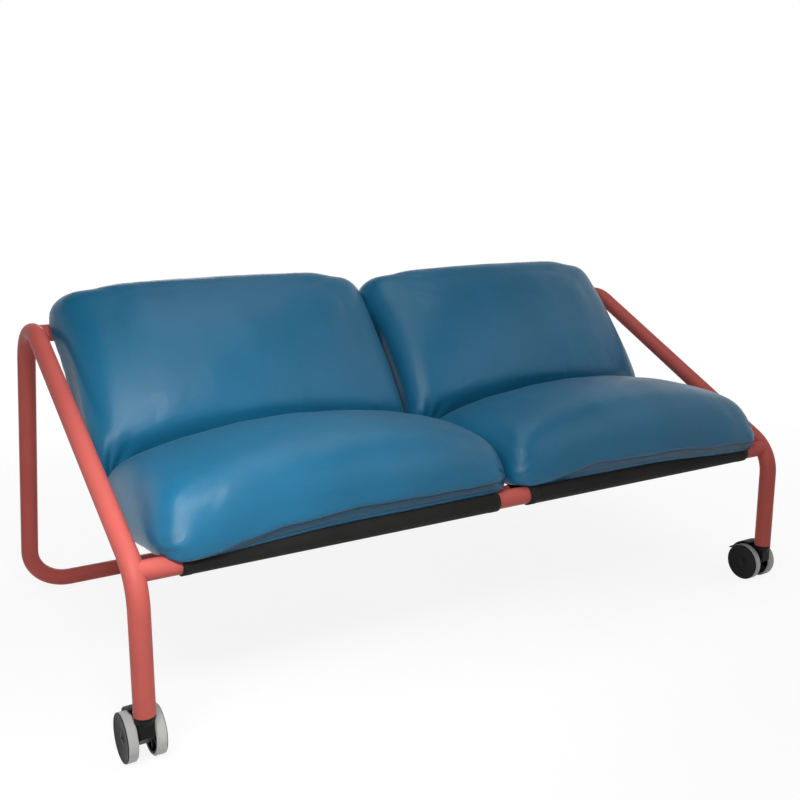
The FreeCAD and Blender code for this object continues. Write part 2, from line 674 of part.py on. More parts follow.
def stations():
    """Distances from a cushion's end to its cross-sections, close together where the ends are rounded."""
    corner = size("back_corner")
    half = size("cushion_width") / 2
    on_corner = [corner * (1 - math.cos(math.radians(turn))) for turn in CORNER_TURNS]
    on_crown = [corner + (half - corner) * step / CROWN_STEPS for step in range(1, CROWN_STEPS + 1)]
    return on_corner + on_crown


def cushion(section, inset):
    """Ruled loft along X from the cushion's inner end, both ends alike."""
    width = size("cushion_width")
    steps = stations()
    places = steps + [width - step for step in steps[-2::-1]]
    squeeze = (width - 2 * inset) / width
    wires = []
    for place in places:
        wire = section(min(place, width - place), inset)
        wire.translate(Vector(width / 2 + (place - width / 2) * squeeze, 0, 0))
        wires.append(wire)
    return Part.makeLoft(wires, True, True)


def cushions():
    starts = {"left": -value_of(CUSHION_END), "right": size("cushion_gap") / 2}
    lining = size("cover_thickness")
    for kind, section in (("seat", seat_section), ("back", back_section)):
        cover = cushion(section, 0.0).cut(cushion(section, lining))
        core = cushion(section, lining + size("core_gap"))
        for name, side in SIDES:
            place = Placement(Vector(starts[name], 0, 0), Rotation())
            for piece, shape in (("cover", cover), ("core", core)):
                label = "%s_%s_%s" % (name, kind, piece)
                keep(solid_feature(label + "_form", shape, place), label)


# Casters

LEG = "-Sizes.frame_depth / 2"
AXLE_Y = "-Sizes.frame_depth / 2 + Sizes.caster_trail"
AXLE_Z = "Sizes.wheel_diameter / 2"
STEM_HOLE = "(Sizes.stem_diameter / 2 + Sizes.press_gap)"
NECK_TOP = "(Sizes.leg_end_height - Sizes.socket_flange_height - Sizes.side_gap)"
STEM_END = "(%s - Sizes.stem_depth)" % NECK_TOP


def socket(name, leg_x):
    """Plug in the leg's end that grips the stem, with a rim as wide as the tube."""
    body = doc.addObject("PartDesign::Body", name + "_socket")
    plug = "(Sizes.tube_diameter / 2 - Sizes.tube_wall - Sizes.press_gap)"
    rim = "Sizes.tube_diameter / 2"
    foot = "-Sizes.socket_flange_height"
    revolve(body, "turned", [
        (STEM_HOLE, foot), (rim, foot), (rim, "0"), (plug, "0"), (plug, "Sizes.stem_grip"),
        (STEM_HOLE, "Sizes.stem_grip")], "Z_Axis")
    keep(at(body, leg_x, LEG, "Sizes.leg_end_height"), name + "_caster_socket")


def stem(name, leg_x):
    body = doc.addObject("PartDesign::Body", name + "_stem")
    radius = "Sizes.stem_diameter / 2"
    top = "(Sizes.stem_grip + Sizes.leg_end_height - %s)" % STEM_END
    revolve(body, "turned", [
        ("0", "0"), (radius + " - Sizes.stem_chamfer", "0"), (radius, "Sizes.stem_chamfer"),
        (radius, top + " - Sizes.stem_chamfer"), (radius + " - Sizes.stem_chamfer", top), ("0", top)],
        "Z_Axis")
    keep(at(body, leg_x, LEG, STEM_END), name + "_caster_stem")


def yoke(name, leg_x):
    """Caster body: a neck as wide as the tube that narrows to a slim bracket between the wheels."""
    body = doc.addObject("PartDesign::Body", name + "_yoke")
    half = "Sizes.yoke_width / 2"
    neck = "Sizes.tube_diameter / 2"
    top = NECK_TOP + " - Sizes.neck_height"
    low = top + " - Sizes.neck_taper"
    revolve(body, "neck", [
        ("0", low), (half + " + Sizes.neck_lip_width", low), (neck, top), (neck, NECK_TOP), ("0", NECK_TOP)],
        "Z_Axis")
    back = "Sizes.caster_trail"
    bottom = "Sizes.yoke_bottom"
    bracket = outline(body, "YZ_Plane", "bracket_outline", [
        ("-" + half, low + " + Sizes.yoke_sink"), ("-" + half, bottom + " + Sizes.yoke_chin"),
        (back + " - Sizes.yoke_toe", bottom), (back + " + Sizes.yoke_heel", bottom),
        (back + " + Sizes.yoke_rear", bottom + " + Sizes.yoke_rear_height"),
        (back + " + Sizes.yoke_shoulder", low + " - Sizes.yoke_shoulder"),
        (half, low + " + Sizes.yoke_sink")])
    pad(body, "bracket", bracket, "Sizes.yoke_width")
    round_edges(body, "soft_bracket", "Sizes.yoke_round", lambda edge: (
        abs(abs(edge.CenterOfMass.x) - size("yoke_width") / 2) < 1e-6
        and edge.BoundBox.XLength < 1e-6 and edge.CenterOfMass.z < value_of(low)))
    pin_y = back + " + Sizes.brake_pin_back"
    pin_z = AXLE_Z + " + Sizes.brake_pin_up"
    boss = "Sizes.brake_boss / 2"
    tail = outline(body, "YZ_Plane", "tail_outline", [
        (back, AXLE_Z + " + Sizes.tail_foot"),
        round_point(pin_y, pin_z, boss, "-Sizes.boss_wrap") + (boss,),
        round_point(pin_y, pin_z, boss, "Sizes.boss_wrap"),
        (back + " - Sizes.tail_root", low + " - Sizes.tail_drop")])
    pad(body, "tail", tail, "Sizes.tail_width")
    through = "2 * Sizes.yoke_width"
    pocket(body, "axle_hole", circle(body, "YZ_Plane", "axle_round", back, AXLE_Z,
                                     "Sizes.axle_diameter + 2 * Sizes.press_gap"), through)
    pocket(body, "pin_hole", circle(body, "YZ_Plane", "pin_round", pin_y, pin_z,
                                    "Sizes.brake_pin_diameter + 2 * Sizes.press_gap"), through)
    bore = body.newObject("PartDesign::Groove", "stem_bore")
    hole = "Sizes.stem_diameter / 2 + Sizes.running_gap"
    floor = STEM_END + " - Sizes.side_gap"
    bore.Profile = outline(body, "XZ_Plane", "stem_bore_outline", [
        ("0", floor), (hole, floor), (hole, NECK_TOP + " + Sizes.side_gap"),
        ("0", NECK_TOP + " + Sizes.side_gap")])
    bore.ReferenceAxis = (origin_feature(body, "Z_Axis"), [""])
    bore.Angle = 360
    keep(at(body, leg_x, LEG, "0"), name + "_caster_yoke")


def pin(name, label, leg_x, radius, length, y, z):
    """A plain pin across the caster."""
    body = doc.addObject("PartDesign::Body", name + "_" + label)
    pad(body, "turned", circle(body, "YZ_Plane", "round", "0", "0", radius), length)
    keep(at(body, leg_x, y, z), "%s_%s" % (name, label))


HUB_START = "(Sizes.yoke_width / 2 + Sizes.side_gap)"
FACE = "(Sizes.wheel_spread + Sizes.wheel_width)"
DISH = "(%s - Sizes.disc_dish)" % FACE
BORE = "(Sizes.axle_diameter / 2 + Sizes.running_gap)"
RIM = "(Sizes.wheel_diameter / 2 - Sizes.tread_depth)"


def wheel_core(name, where, leg_x, turn):
    """Moulded wheel: hub, dished disc over the whole face, rim under the tread and ribs inside."""
    body = doc.addObject("PartDesign::Body", "%s_%s_core" % (name, where))
    edge = "(Sizes.wheel_diameter / 2 - Sizes.flange_drop)"
    inner_rim = "(%s - Sizes.rim_wall)" % RIM
    web = "(%s - Sizes.web_thickness)" % DISH
    hub = "Sizes.hub_diameter / 2"
    cap = "Sizes.cap_diameter / 2"
    behind = FACE + " - Sizes.flange_thickness"
    rim_start = "Sizes.wheel_spread + Sizes.rim_inset"
    revolve(body, "turned", [
        (HUB_START, BORE), (DISH, BORE), (DISH, cap),
        (FACE + " - Sizes.flange_thickness / 2", edge + " - Sizes.disc_lip_width - Sizes.lip_slope_width"),
        (FACE, edge + " - Sizes.disc_lip_width"), (FACE, edge), (behind, edge), (behind, RIM),
        (rim_start, RIM), (rim_start, inner_rim), (web, inner_rim), (web, hub), (HUB_START, hub)], "X_Axis")
    rib_start = "Sizes.wheel_spread + Sizes.rib_inset"
    rib_end = web + " + Sizes.rib_root"
    rib = body.newObject("PartDesign::Pad", "rib")
    rib.Profile = outline(body, "XZ_Plane", "rib_outline", [
        (rib_start, hub + " - Sizes.rib_root"), (rib_end, hub + " - Sizes.rib_root"),
        (rib_end, inner_rim + " + Sizes.rib_root"), (rib_start, inner_rim + " + Sizes.rib_root")])
    rib.Midplane = True
    rib.setExpression("Length", "Sizes.rib_width")
    doc.recompute()
    ribs = body.newObject("PartDesign::PolarPattern", "ribs")
    ribs.Originals = [rib]
    ribs.Axis = (origin_feature(body, "X_Axis"), [""])
    ribs.Angle = 360
    ribs.setExpression("Occurrences", "Sizes.rib_count")
    body.Tip = ribs
    keep(at(body, leg_x, AXLE_Y, AXLE_Z, turn), "%s_%s_wheel_core" % (name, where))


def tread(name, where, leg_x, turn):
    body = doc.addObject("PartDesign::Body", "%s_%s_tread" % (name, where))
    outside = "Sizes.wheel_diameter / 2"
    soft = "Sizes.tread_round"
    inside = RIM + " + Sizes.press_gap"
    inner = "Sizes.wheel_spread"
    outer = FACE + " - Sizes.flange_thickness - Sizes.press_gap"
    revolve(body, "ring", [
        (inner, inside), (outer, inside), (outer, outside),
        (inner + " + " + soft, outside, "-" + soft), (inner, outside + " - " + soft)], "X_Axis")
    keep(at(body, leg_x, AXLE_Y, AXLE_Z, turn), "%s_%s_tread" % (name, where))


def hub_cap(name, where, leg_x, turn):
    """Domed cap on the middle of the disc, with a plug in the axle's bore."""
    body = doc.addObject("PartDesign::Body", "%s_%s_cap" % (name, where))
    seat = DISH + " + Sizes.press_gap"
    half = "Sizes.cap_diameter / 2"
    edge = half + " - Sizes.cap_gap"
    plug = BORE + " - Sizes.press_gap"
    plug_end = DISH + " - Sizes.cap_plug_length"
    dome = "((Sizes.cap_height ^ 2 + (%s) ^ 2) / (2 * Sizes.cap_height))" % edge
    revolve(body, "dome", [
        (plug_end, "0"), (DISH + " + Sizes.cap_height", "0", "-" + dome), (seat, edge), (seat, plug),
        (plug_end, plug)], "X_Axis")
    keep(at(body, leg_x, AXLE_Y, AXLE_Z, turn), "%s_%s_hub_cap" % (name, where))


def on_ring(radius, angle):
    """A point round the wheel's axle."""
    return round_point("0", "0", radius, angle)


def brake(name, leg_x):
    """Foot lever: a curved plate over both treads on two cheeks, with a tab at the back."""
    body = doc.addObject("PartDesign::Body", name + "_lever")
    inside = "(Sizes.wheel_diameter / 2 + Sizes.pedal_clearance)"
    outside = "(%s + Sizes.pedal_thickness)" % inside
    front = "Sizes.pedal_front_angle"
    rear = "Sizes.pedal_rear_angle"
    corners = [on_ring(inside, front), on_ring(inside, rear), on_ring(outside, rear),
               on_ring(outside, front)]
    corners[0] += ("-" + inside,)
    corners[2] += (outside,)
    plate = outline(body, "YZ_Plane", "plate_outline", corners)
    pad(body, "plate", plate, "Sizes.pedal_width")
    tip = "Sizes.tab_angle"
    root = "(%s + Sizes.tab_root)" % rear
    tab = outline(body, "YZ_Plane", "tab_outline", [
        on_ring(inside + " + Sizes.root_sink", root), on_ring("(Sizes.tab_reach - Sizes.tab_thickness)", tip),
        on_ring("Sizes.tab_reach", tip), on_ring(outside + " - Sizes.root_sink", root)])
    pad(body, "tab", tab, "Sizes.tab_width")
    pin_y, pin_z = "Sizes.brake_pin_back", "Sizes.brake_pin_up"
    boss = "Sizes.brake_boss / 2"
    reach = "(%s + Sizes.root_sink)" % inside
    cheek = outline(body, "YZ_Plane", "cheek_outline", [
        round_point(pin_y, pin_z, boss, "(270 - Sizes.boss_wrap)") + (boss,),
        round_point(pin_y, pin_z, boss, "(270 + Sizes.boss_wrap)"),
        on_ring(reach, "Sizes.cheek_rear_angle") + (reach,), on_ring(reach, "Sizes.cheek_front_angle")])
    pad(body, "cheeks", cheek, "Sizes.tail_width + 2 * Sizes.side_gap + 2 * Sizes.cheek_thickness")
    slot_side = "(%s + Sizes.slot_room)" % boss
    slot = outline(body, "YZ_Plane", "slot_outline", [
        (pin_y + " - " + slot_side, pin_z + " - " + slot_side),
        (pin_y + " + " + slot_side, pin_z + " - " + slot_side),
        on_ring(inside, "(Sizes.cheek_rear_angle - Sizes.slot_angle)") + (inside,),
        on_ring(inside, "(Sizes.cheek_front_angle + Sizes.slot_angle)")])
    pocket(body, "slot", slot, "Sizes.tail_width + 2 * Sizes.side_gap")
    pocket(body, "pin_hole", circle(body, "YZ_Plane", "pin_round", pin_y, pin_z,
                                    "Sizes.brake_pin_diameter + 2 * Sizes.running_gap"), "Sizes.pedal_width")
    keep(at(body, leg_x, AXLE_Y, AXLE_Z), name + "_brake_lever")


def caster(name, side):
    leg_x = "%d * %s" % (side, SIDE_X)
    socket(name, leg_x)
    stem(name, leg_x)
    yoke(name, leg_x)
    pin(name, "wheel_axle", leg_x, "Sizes.axle_diameter",
        "2 * (%s - Sizes.cap_plug_length - Sizes.axle_gap)" % DISH, AXLE_Y, AXLE_Z)
    pin(name, "brake_pin", leg_x, "Sizes.brake_pin_diameter",
        "Sizes.tail_width + 2 * Sizes.side_gap + 2 * Sizes.cheek_thickness",
        AXLE_Y + " + Sizes.brake_pin_back", AXLE_Z + " + Sizes.brake_pin_up")
    for where, turn in (("outer", 90 - 90 * side), ("inner", 90 + 90 * side)):
        wheel_core(name, where, leg_x, turn)
        tread(name, where, leg_x, turn)
        hub_cap(name, where, leg_x, turn)
    brake(name, leg_x)


frame_tubes()
slings()
cushions()
for part_side in SIDES:
    glide(*part_side)
    caster(*part_side)
doc.recompute()

for item in doc.Objects:
    if "Invalid" in item.State or "Error" in item.State:
        raise RuntimeError("%s did not build: %s" % (item.Label, item.State))
for item in parts:
    if item.Shape.isNull() or not item.Shape.isValid() or not item.Shape.Solids:
        raise RuntimeError(item.Label + " has no sound shape")

os.makedirs("parts", exist_ok=True)
for item in parts:
    item.Shape.exportStep("parts/%s.step" % item.Label)
print("%d sub-parts" % len(parts))
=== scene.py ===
"""Dress of a two-seat lounge sofa: powder-coated tube frame, braked casters, cloth slings and cushions."""
import math

import bmesh
import bpy
import numpy as np
from bpy.props import FloatProperty, FloatVectorProperty, IntProperty, PointerProperty
from mathutils import Matrix, Vector, noise
from mathutils.bvhtree import BVHTree


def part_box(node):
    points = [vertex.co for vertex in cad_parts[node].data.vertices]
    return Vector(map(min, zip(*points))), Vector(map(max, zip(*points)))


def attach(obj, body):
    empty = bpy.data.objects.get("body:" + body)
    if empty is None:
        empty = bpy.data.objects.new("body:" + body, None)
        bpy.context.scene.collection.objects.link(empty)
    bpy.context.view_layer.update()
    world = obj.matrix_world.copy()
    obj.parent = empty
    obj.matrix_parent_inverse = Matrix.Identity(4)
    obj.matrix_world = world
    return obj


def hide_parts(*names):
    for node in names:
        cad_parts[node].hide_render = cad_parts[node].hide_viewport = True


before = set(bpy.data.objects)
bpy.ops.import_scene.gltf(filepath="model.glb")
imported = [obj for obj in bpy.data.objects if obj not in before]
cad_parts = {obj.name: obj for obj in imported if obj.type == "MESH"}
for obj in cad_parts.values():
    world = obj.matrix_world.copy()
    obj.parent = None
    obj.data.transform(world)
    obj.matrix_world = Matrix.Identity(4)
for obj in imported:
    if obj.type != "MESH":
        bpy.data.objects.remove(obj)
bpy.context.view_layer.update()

bl_info = {
    "name": "Lounge Sofa",
    "version": (1, 0, 0),
    "blender": (4, 5, 0),
    "location": "View3D > Sidebar > Sofa",
    "description": "Finishes, slings and cushions of a two-seat lounge sofa on a tube frame",
    "category": "Object",
}

SIDES = ("left", "right")


def colour_property(name, description, default):
    """A colour that a user may change."""
    return FloatVectorProperty(name=name, description=description, default=default, subtype="COLOR",
                               size=3, min=0.0, max=1.0)


def length_property(name, description, default):
    """A length in metres that a user may change."""
    return FloatProperty(name=name, description=description, default=default, subtype="DISTANCE",
                         unit="LENGTH", precision=4)


def number_property(name, description, default):
    """A plain number that a user may change."""
    return FloatProperty(name=name, description=description, default=default)


def count_property(name, description, default):
    """A whole number that a user may change."""
    return IntProperty(name=name, description=description, default=default, min=1)


class SofaColours(bpy.types.PropertyGroup):
    """Colours of the sofa's finishes"""
    coat: colour_property("Frame coat", "Powder coat of the tubes and rails", (0.55, 0.112, 0.095))
    cover: colour_property("Cushion cover", "Blue cover of the cushions", (0.010, 0.128, 0.244))
    # painted shade: the colour given to the cover in its creases, tucks, pleats and drawn-in ends, where
    # shade falls
    fold: colour_property("Cover fold", "Cover deep in its folds and along its seams", (0.006, 0.045, 0.09))
    sling: colour_property("Sling", "Black cloth of the slings", (0.017, 0.017, 0.016))
    thread: colour_property("Thread", "Thread of the slings' seams", (0.03, 0.03, 0.03))
    plastic: colour_property("Caster plastic", "Moulded plastic of the casters", (0.009, 0.009, 0.0095))
    tread: colour_property("Tread", "Grey soft tread of the wheels", (0.50, 0.50, 0.49))
    steel: colour_property("Steel", "Bare steel of stems, axles and pins", (0.52, 0.52, 0.53))


class SofaCushions(bpy.types.PropertyGroup):
    """Sizes of the cushions"""
    voxel: length_property("Voxel", "Mesh size of the cover before it is blown up", 0.007)
    start_inset: length_property("Start inset", "How much smaller the cover starts than its full form", 0.008)
    cap: length_property("Largest move", "How far pressure may move the cover", 0.026)
    proud: length_property("Proud", "How far the cover may stand out of the CAD form where it is free", 0.003)
    pressure: number_property("Pressure", "Air pressure of the simulated filling", 4.0)
    frames: count_property("Frames", "Frames of the simulation", 20)
    swell: number_property("Swell", "Share of the simulated swell that the cover keeps", 0.3)
    creases: number_property("Creases", "Share of the simulated creases that it keeps", 0.3)
    soften_rounds: count_property("Soften rounds", "Rounds of softening of the cover's mesh", 12)
    swell_rounds: count_property("Swell rounds", "Rounds of averaging that part swell from creases", 60)
    end_rounds: count_property("End rounds", "Rounds of softening of the cushions' ends", 35)
    crease_height: length_property("Crease height", "Seat's lower face to the crease along its front", 0.022)
    crease_width: length_property("Crease width", "Height over which the front turns under", 0.006)
    crease_depth: length_property("Crease depth", "How far the strip under the crease is set back", 0.006)
    crease_swell: length_property("Crease swell", "How far the front stands out over the crease", 0.003)
    droop: length_property("Droop", "How far the seat's outer front corner hangs below the sling", 0.012)
    droop_forward: length_property("Droop forward", "How far it hangs forward there, over the sleeve", 0.009)
    end_dome: length_property("End dome", "How far the seat's outer end swells sideways", 0.006)
    tuck_width: length_property("Tuck width", "Half width of the tucks at a seat's front corners", 0.0035)
    tuck_depth: length_property("Tuck depth", "Depth of those tucks", 0.003)
    waist_height: length_property("Waist height", "Back's rear face to where its ends draw in", 0.034)
    waist_width: length_property("Waist width", "Half width of the drawn-in line", 0.020)
    waist_depth: length_property("Waist depth", "How far the ends draw in there", 0.007)
    crest_lift: length_property("Crest lift", "How far a back's top rises towards its right corner", 0.006)
    crest_dip: length_property("Crest dip", "How far it dips left of its middle", 0.004)
    ear: length_property("Ear", "How far the upper corners of a back stand out sideways", 0.006)
    pleat_reach: length_property("Pleat reach", "Length of the pleats from a back's lower corner", 0.075)
    pleat_depth: length_property("Pleat depth", "Depth of those pleats", 0.005)
    unevenness: length_property("Unevenness", "Soft unevenness of a used cushion", 0.0015)
    weave: length_property("Weave", "Pitch of the cover's twill", 0.0022)


class SofaSlings(bpy.types.PropertyGroup):
    """Sizes of the slings"""
    hem: length_property("Hem", "Width of the turned hem at a sling's ends", 0.016)
    hem_rise: length_property("Hem rise", "How far the turned hem stands out of the sheet", 0.0005)
    stitch: length_property("Stitch", "Length of a stitch", 0.0036)
    stitch_pitch: length_property("Stitch pitch", "From one stitch to the next", 0.0052)
    thread: length_property("Thread", "Half thickness of the sewing thread", 0.0005)
    weave: length_property("Weave", "Pitch of the cloth's plain weave", 0.0016)


class SofaStage(bpy.types.PropertyGroup):
    """Camera, lamps and floor"""
    camera_place: FloatVectorProperty(name="Camera place", description="Where the camera stands", size=3,
                                      default=(-1.1338, -1.8066, 0.8675), subtype="TRANSLATION",
                                      unit="LENGTH")
    camera_tilt: FloatProperty(name="Camera tilt", description="Camera's turn about its level axis",
                               default=math.radians(78.402), subtype="ANGLE", unit="ROTATION")
    camera_turn: FloatProperty(name="Camera turn", description="Camera's turn about the vertical",
                               default=math.radians(-32.03), subtype="ANGLE", unit="ROTATION")
    lens: number_property("Lens", "Focal length in millimetres", 44.96)
    floor_size: length_property("Floor", "Side of the floor", 24.0)
    top_power: number_property("Top lamp", "Broad lamp over the sofa", 13.0)
    front_power: number_property("Front lamp", "Small lamp at the front left", 8.5)
    near_power: number_property("Near lamp", "Small lamp over the left seat's front", 2.6)
    side_power: number_property("Side lamp", "Small lamp at the left seat's end", 1.5)
    fill_power: number_property("Fill lamp", "Broad lamp high at the front right", 9.0)
    back_power: number_property("Back lamp", "Broad lamp behind the sofa", 9.0)
    ambient: number_property("Ambient", "Light from all sides", 0.08)


# Materials

NOISE_RANGE = (0.3, 0.7)  # most values of a noise texture


def new_material(name):
    """A material with its node tree and its main shader."""
    material = bpy.data.materials.new(name)
    material.use_nodes = True
    return material, material.node_tree, material.node_tree.nodes["Principled BSDF"]


def add_node(tree, kind, sockets=(), **settings):
    """A node with its settings; sockets are pairs of a name or number and a value or another socket."""
    node = tree.nodes.new(kind)
    for name, value in settings.items():
        setattr(node, name, value)
    for name, value in sockets:
        if isinstance(value, bpy.types.NodeSocket):
            tree.links.new(value, node.inputs[name])
        else:
            node.inputs[name].default_value = value
    return node


def object_place(tree):
    """The socket that gives a point's place on the piece."""
    return add_node(tree, "ShaderNodeTexCoord").outputs["Object"]


def grain(tree, place, scale, detail=2.0):
    """Noise over the surface."""
    return add_node(tree, "ShaderNodeTexNoise", [("Vector", place), ("Scale", scale), ("Detail", detail)]
                    ).outputs["Fac"]


def ranged(tree, value, source, target):
    """A value brought from one range to another."""
    return add_node(tree, "ShaderNodeMapRange", [
        ("Value", value), ("From Min", source[0]), ("From Max", source[1]),
        ("To Min", target[0]), ("To Max", target[1])]).outputs["Result"]


def spread(tree, value, low, high):
    """Noise stretched to a range."""
    return ranged(tree, value, NOISE_RANGE, (low, high))


def shade_between(tree, factor, first, second):
    """A colour between two colours."""
    node = add_node(tree, "ShaderNodeMix", data_type="RGBA")
    tree.links.new(factor, node.inputs["Factor"])
    for socket, colour in ((node.inputs[6], first), (node.inputs[7], second)):
        if isinstance(colour, bpy.types.NodeSocket):
            tree.links.new(colour, socket)
        else:
            socket.default_value = (*colour, 1.0)
    return node.outputs[2]


def combine(tree, operation, first, second):
    """The result of an operation on two values."""
    return add_node(tree, "ShaderNodeMath", [(0, first), (1, second)], operation=operation).outputs[0]


def relief(tree, height, depth, strength, under=None):
    """A bump of the given depth, on top of another one."""
    sockets = [("Height", height), ("Distance", depth), ("Strength", strength)]
    if under is not None:
        sockets.append(("Normal", under))
    return add_node(tree, "ShaderNodeBump", sockets).outputs["Normal"]


def stripes(tree, place, pitch, direction="X", turn=(0.0, 0.0, 0.0)):
    """Even waves with the given pitch in metres."""
    turned = add_node(tree, "ShaderNodeMapping", [("Vector", place), ("Rotation", turn)]).outputs["Vector"]
    # The node turns 20 radians per metre along an axis, and 10 per metre of x + y + z on a diagonal
    factor = 10.0 * math.sqrt(3.0) if direction == "DIAGONAL" else 20.0
    return add_node(tree, "ShaderNodeTexWave", [("Vector", turned), ("Scale", 2 * math.pi / (factor * pitch)),
                    ("Distortion", 0.0)], wave_type="BANDS", bands_direction=direction).outputs["Fac"]


def tint(colour, factor):
    """A colour made lighter or darker."""
    return tuple(min(channel * factor, 1.0) for channel in colour)


def drifting(tree, place, colour, scale, darkest, lightest, detail=3.0):
    """A colour that drifts slowly between a darker and a lighter shade of itself."""
    drift = spread(tree, grain(tree, place, scale, detail), 0.0, 1.0)
    return shade_between(tree, drift, tint(colour, darkest), tint(colour, lightest))


def connect(tree, shader, colour, rough, normal):
    """Connect a material's colour, roughness and relief to its shader."""
    for name, socket in (("Base Color", colour), ("Roughness", rough), ("Normal", normal)):
        tree.links.new(socket, shader.inputs[name])


def powder_coat(colours):
    """Satin powder coat: a fine orange-peel skin with slow changes of shade."""
    material, tree, shader = new_material("powder_coat")
    place = object_place(tree)
    shade = drifting(tree, place, colours.coat, 6.0, 0.93, 1.06)
    rough = spread(tree, grain(tree, place, 260.0), 0.40, 0.52)
    peel = relief(tree, grain(tree, place, 900.0), depth=0.0004, strength=0.10)
    connect(tree, shader, shade, rough, peel)
    shader.inputs["Specular IOR Level"].default_value = 0.15
    return material


def upholstery(colours, cushions):
    """Smooth coated cloth: fine twill under a satin skin, with painted shade in its folds."""
    material, tree, shader = new_material("upholstery")
    place = object_place(tree)
    twill = stripes(tree, place, cushions.weave, "DIAGONAL")
    slubs = grain(tree, place, 700.0, 3.0)
    # Painted shade: the fold attribute darkens the cover towards its fold colour in creases, tucks, pleats
    # and drawn-in ends
    fold = add_node(tree, "ShaderNodeAttribute", attribute_name="fold").outputs["Fac"]
    shade = drifting(tree, place, colours.cover, 5.0, 0.90, 1.08)
    shade = shade_between(tree, fold, shade, colours.fold)
    rough = spread(tree, slubs, 0.26, 0.38)
    waves = relief(tree, grain(tree, place, 22.0, 3.0), depth=0.006, strength=0.10)
    cloth = relief(tree, combine(tree, "ADD", twill, slubs), depth=0.0005, strength=0.35, under=waves)
    connect(tree, shader, shade, rough, cloth)
    shader.inputs["Specular IOR Level"].default_value = 0.3
    shader.inputs["Sheen Weight"].default_value = 0.05
    shader.inputs["Sheen Roughness"].default_value = 0.35
    return material


def woven_cloth(name, colour, pitch):
    """Matt plain weave."""
    material, tree, shader = new_material(name)
    place = object_place(tree)
    warp = stripes(tree, place, pitch)
    weft = stripes(tree, place, pitch, "Y", (math.pi / 4, 0.0, 0.0))
    fuzz = grain(tree, place, 1500.0, 4.0)
    shade = drifting(tree, place, colour, 9.0, 0.8, 1.25)
    rough = spread(tree, fuzz, 0.62, 0.78)
    hairs = relief(tree, fuzz, depth=0.0004, strength=0.25)
    cloth = relief(tree, combine(tree, "MULTIPLY", warp, weft), depth=0.0004, strength=0.45, under=hairs)
    connect(tree, shader, shade, rough, cloth)
    shader.inputs["Specular IOR Level"].default_value = 0.1
    shader.inputs["Sheen Weight"].default_value = 0.03
    shader.inputs["Sheen Roughness"].default_value = 0.5
    return material


def moulded(name, colour, rough, shine=0.3):
    """Moulded plastic or rubber with a fine eroded skin."""
    material, tree, shader = new_material(name)
    place = object_place(tree)
    shade = drifting(tree, place, colour, 35.0, 0.94, 1.06)
    patches = spread(tree, grain(tree, place, 90.0), rough - 0.03, rough + 0.03)
    skin = relief(tree, grain(tree, place, 1900.0, 3.0), depth=0.0002, strength=0.18)
    connect(tree, shader, shade, patches, skin)
    shader.inputs["Specular IOR Level"].default_value = shine
    return material


def bare_steel(colours):
    """Steel with the fine marks of its making."""
    material, tree, shader = new_material("bare_steel")
    place = object_place(tree)
    shade = drifting(tree, place, colours.steel, 60.0, 0.85, 1.0, detail=2.0)
    rough = spread(tree, grain(tree, place, 400.0), 0.24, 0.38)
    marks = relief(tree, stripes(tree, place, 0.0006), depth=0.0001, strength=0.1)
    connect(tree, shader, shade, rough, marks)
    shader.inputs["Metallic"].default_value = 1.0
    return material


def paint(names, material):
    """Give CAD nodes their finish."""
    for name in names:
        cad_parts[name].material_slots[0].material = material


def on_both_sides(*endings):
    """Names of the nodes with these endings, left and right."""
    return ["%s_%s" % (side, ending) for side in SIDES for ending in endings]


class SOFA_OT_coat_frame(bpy.types.Operator):
    """Powder-coat the tubes and rails and finish what is fixed to them"""
    bl_idname = "sofa.coat_frame"
    bl_label = "Coat Frame"

    def execute(self, context):
        colours = context.scene.sofa_colours
        tubes = ["front_rail", "top_rail", "rear_floor_rail"] + on_both_sides("side_tube")
        paint(tubes, powder_coat(colours))
        paint(on_both_sides("splice_spigot", "caster_stem"), bare_steel(colours))
        paint(on_both_sides("rear_glide"), moulded("glide_plastic", colours.plastic, rough=0.5, shine=0.12))
        return {"FINISHED"}


class SOFA_OT_finish_casters(bpy.types.Operator):
    """Give the casters their plastic, treads and steel"""
    bl_idname = "sofa.finish_casters"
    bl_label = "Finish Casters"

    def execute(self, context):
        colours = context.scene.sofa_colours
        wheels = ["%s_%s" % (where, piece)
                  for where in ("outer", "inner") for piece in ("wheel_core", "hub_cap")]
        paint(on_both_sides("caster_socket", "caster_yoke", "brake_lever", *wheels),
              moulded("caster_plastic", colours.plastic, rough=0.5, shine=0.12))
        paint(on_both_sides("outer_tread", "inner_tread"), moulded("tread_rubber", colours.tread, rough=0.6))
        paint(on_both_sides("wheel_axle", "brake_pin"), bpy.data.materials["bare_steel"])
        return {"FINISHED"}


# Meshes

def merged_copy(node):
    """A bmesh with the merged mesh of a CAD node."""
    copy = bmesh.new()
    copy.from_mesh(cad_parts[node].data)
    bmesh.ops.remove_doubles(copy, verts=copy.verts, dist=1e-5)
    return copy


def add_piece(name, mesh, material, body):
    """A finished piece on a CAD body."""
    piece = bpy.data.objects.new(name, mesh)
    bpy.context.scene.collection.objects.link(piece)
    piece.data.materials.clear()
    piece.data.materials.append(material)
    for face in piece.data.polygons:
        face.material_index = 0
    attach(piece, body)
    return piece


def mesh_of(work, name):
    """A smooth mesh from a bmesh, which is then freed."""
    mesh = bpy.data.meshes.new(name)
    work.to_mesh(mesh)
    work.free()
    mesh.shade_smooth()
    return mesh


def settle(obj):
    """Apply an object's modifiers to its mesh."""
    graph = bpy.context.evaluated_depsgraph_get()
    mesh = bpy.data.meshes.new_from_object(obj.evaluated_get(graph))
    obj.modifiers.clear()
    obj.data = mesh


def points_of(mesh):
    points = np.empty(len(mesh.vertices) * 3)
    mesh.vertices.foreach_get("co", points)
    return points.reshape(-1, 3)


def normals_of(mesh):
    normals = np.empty(len(mesh.vertices) * 3)
    mesh.vertices.foreach_get("normal", normals)
    return normals.reshape(-1, 3)


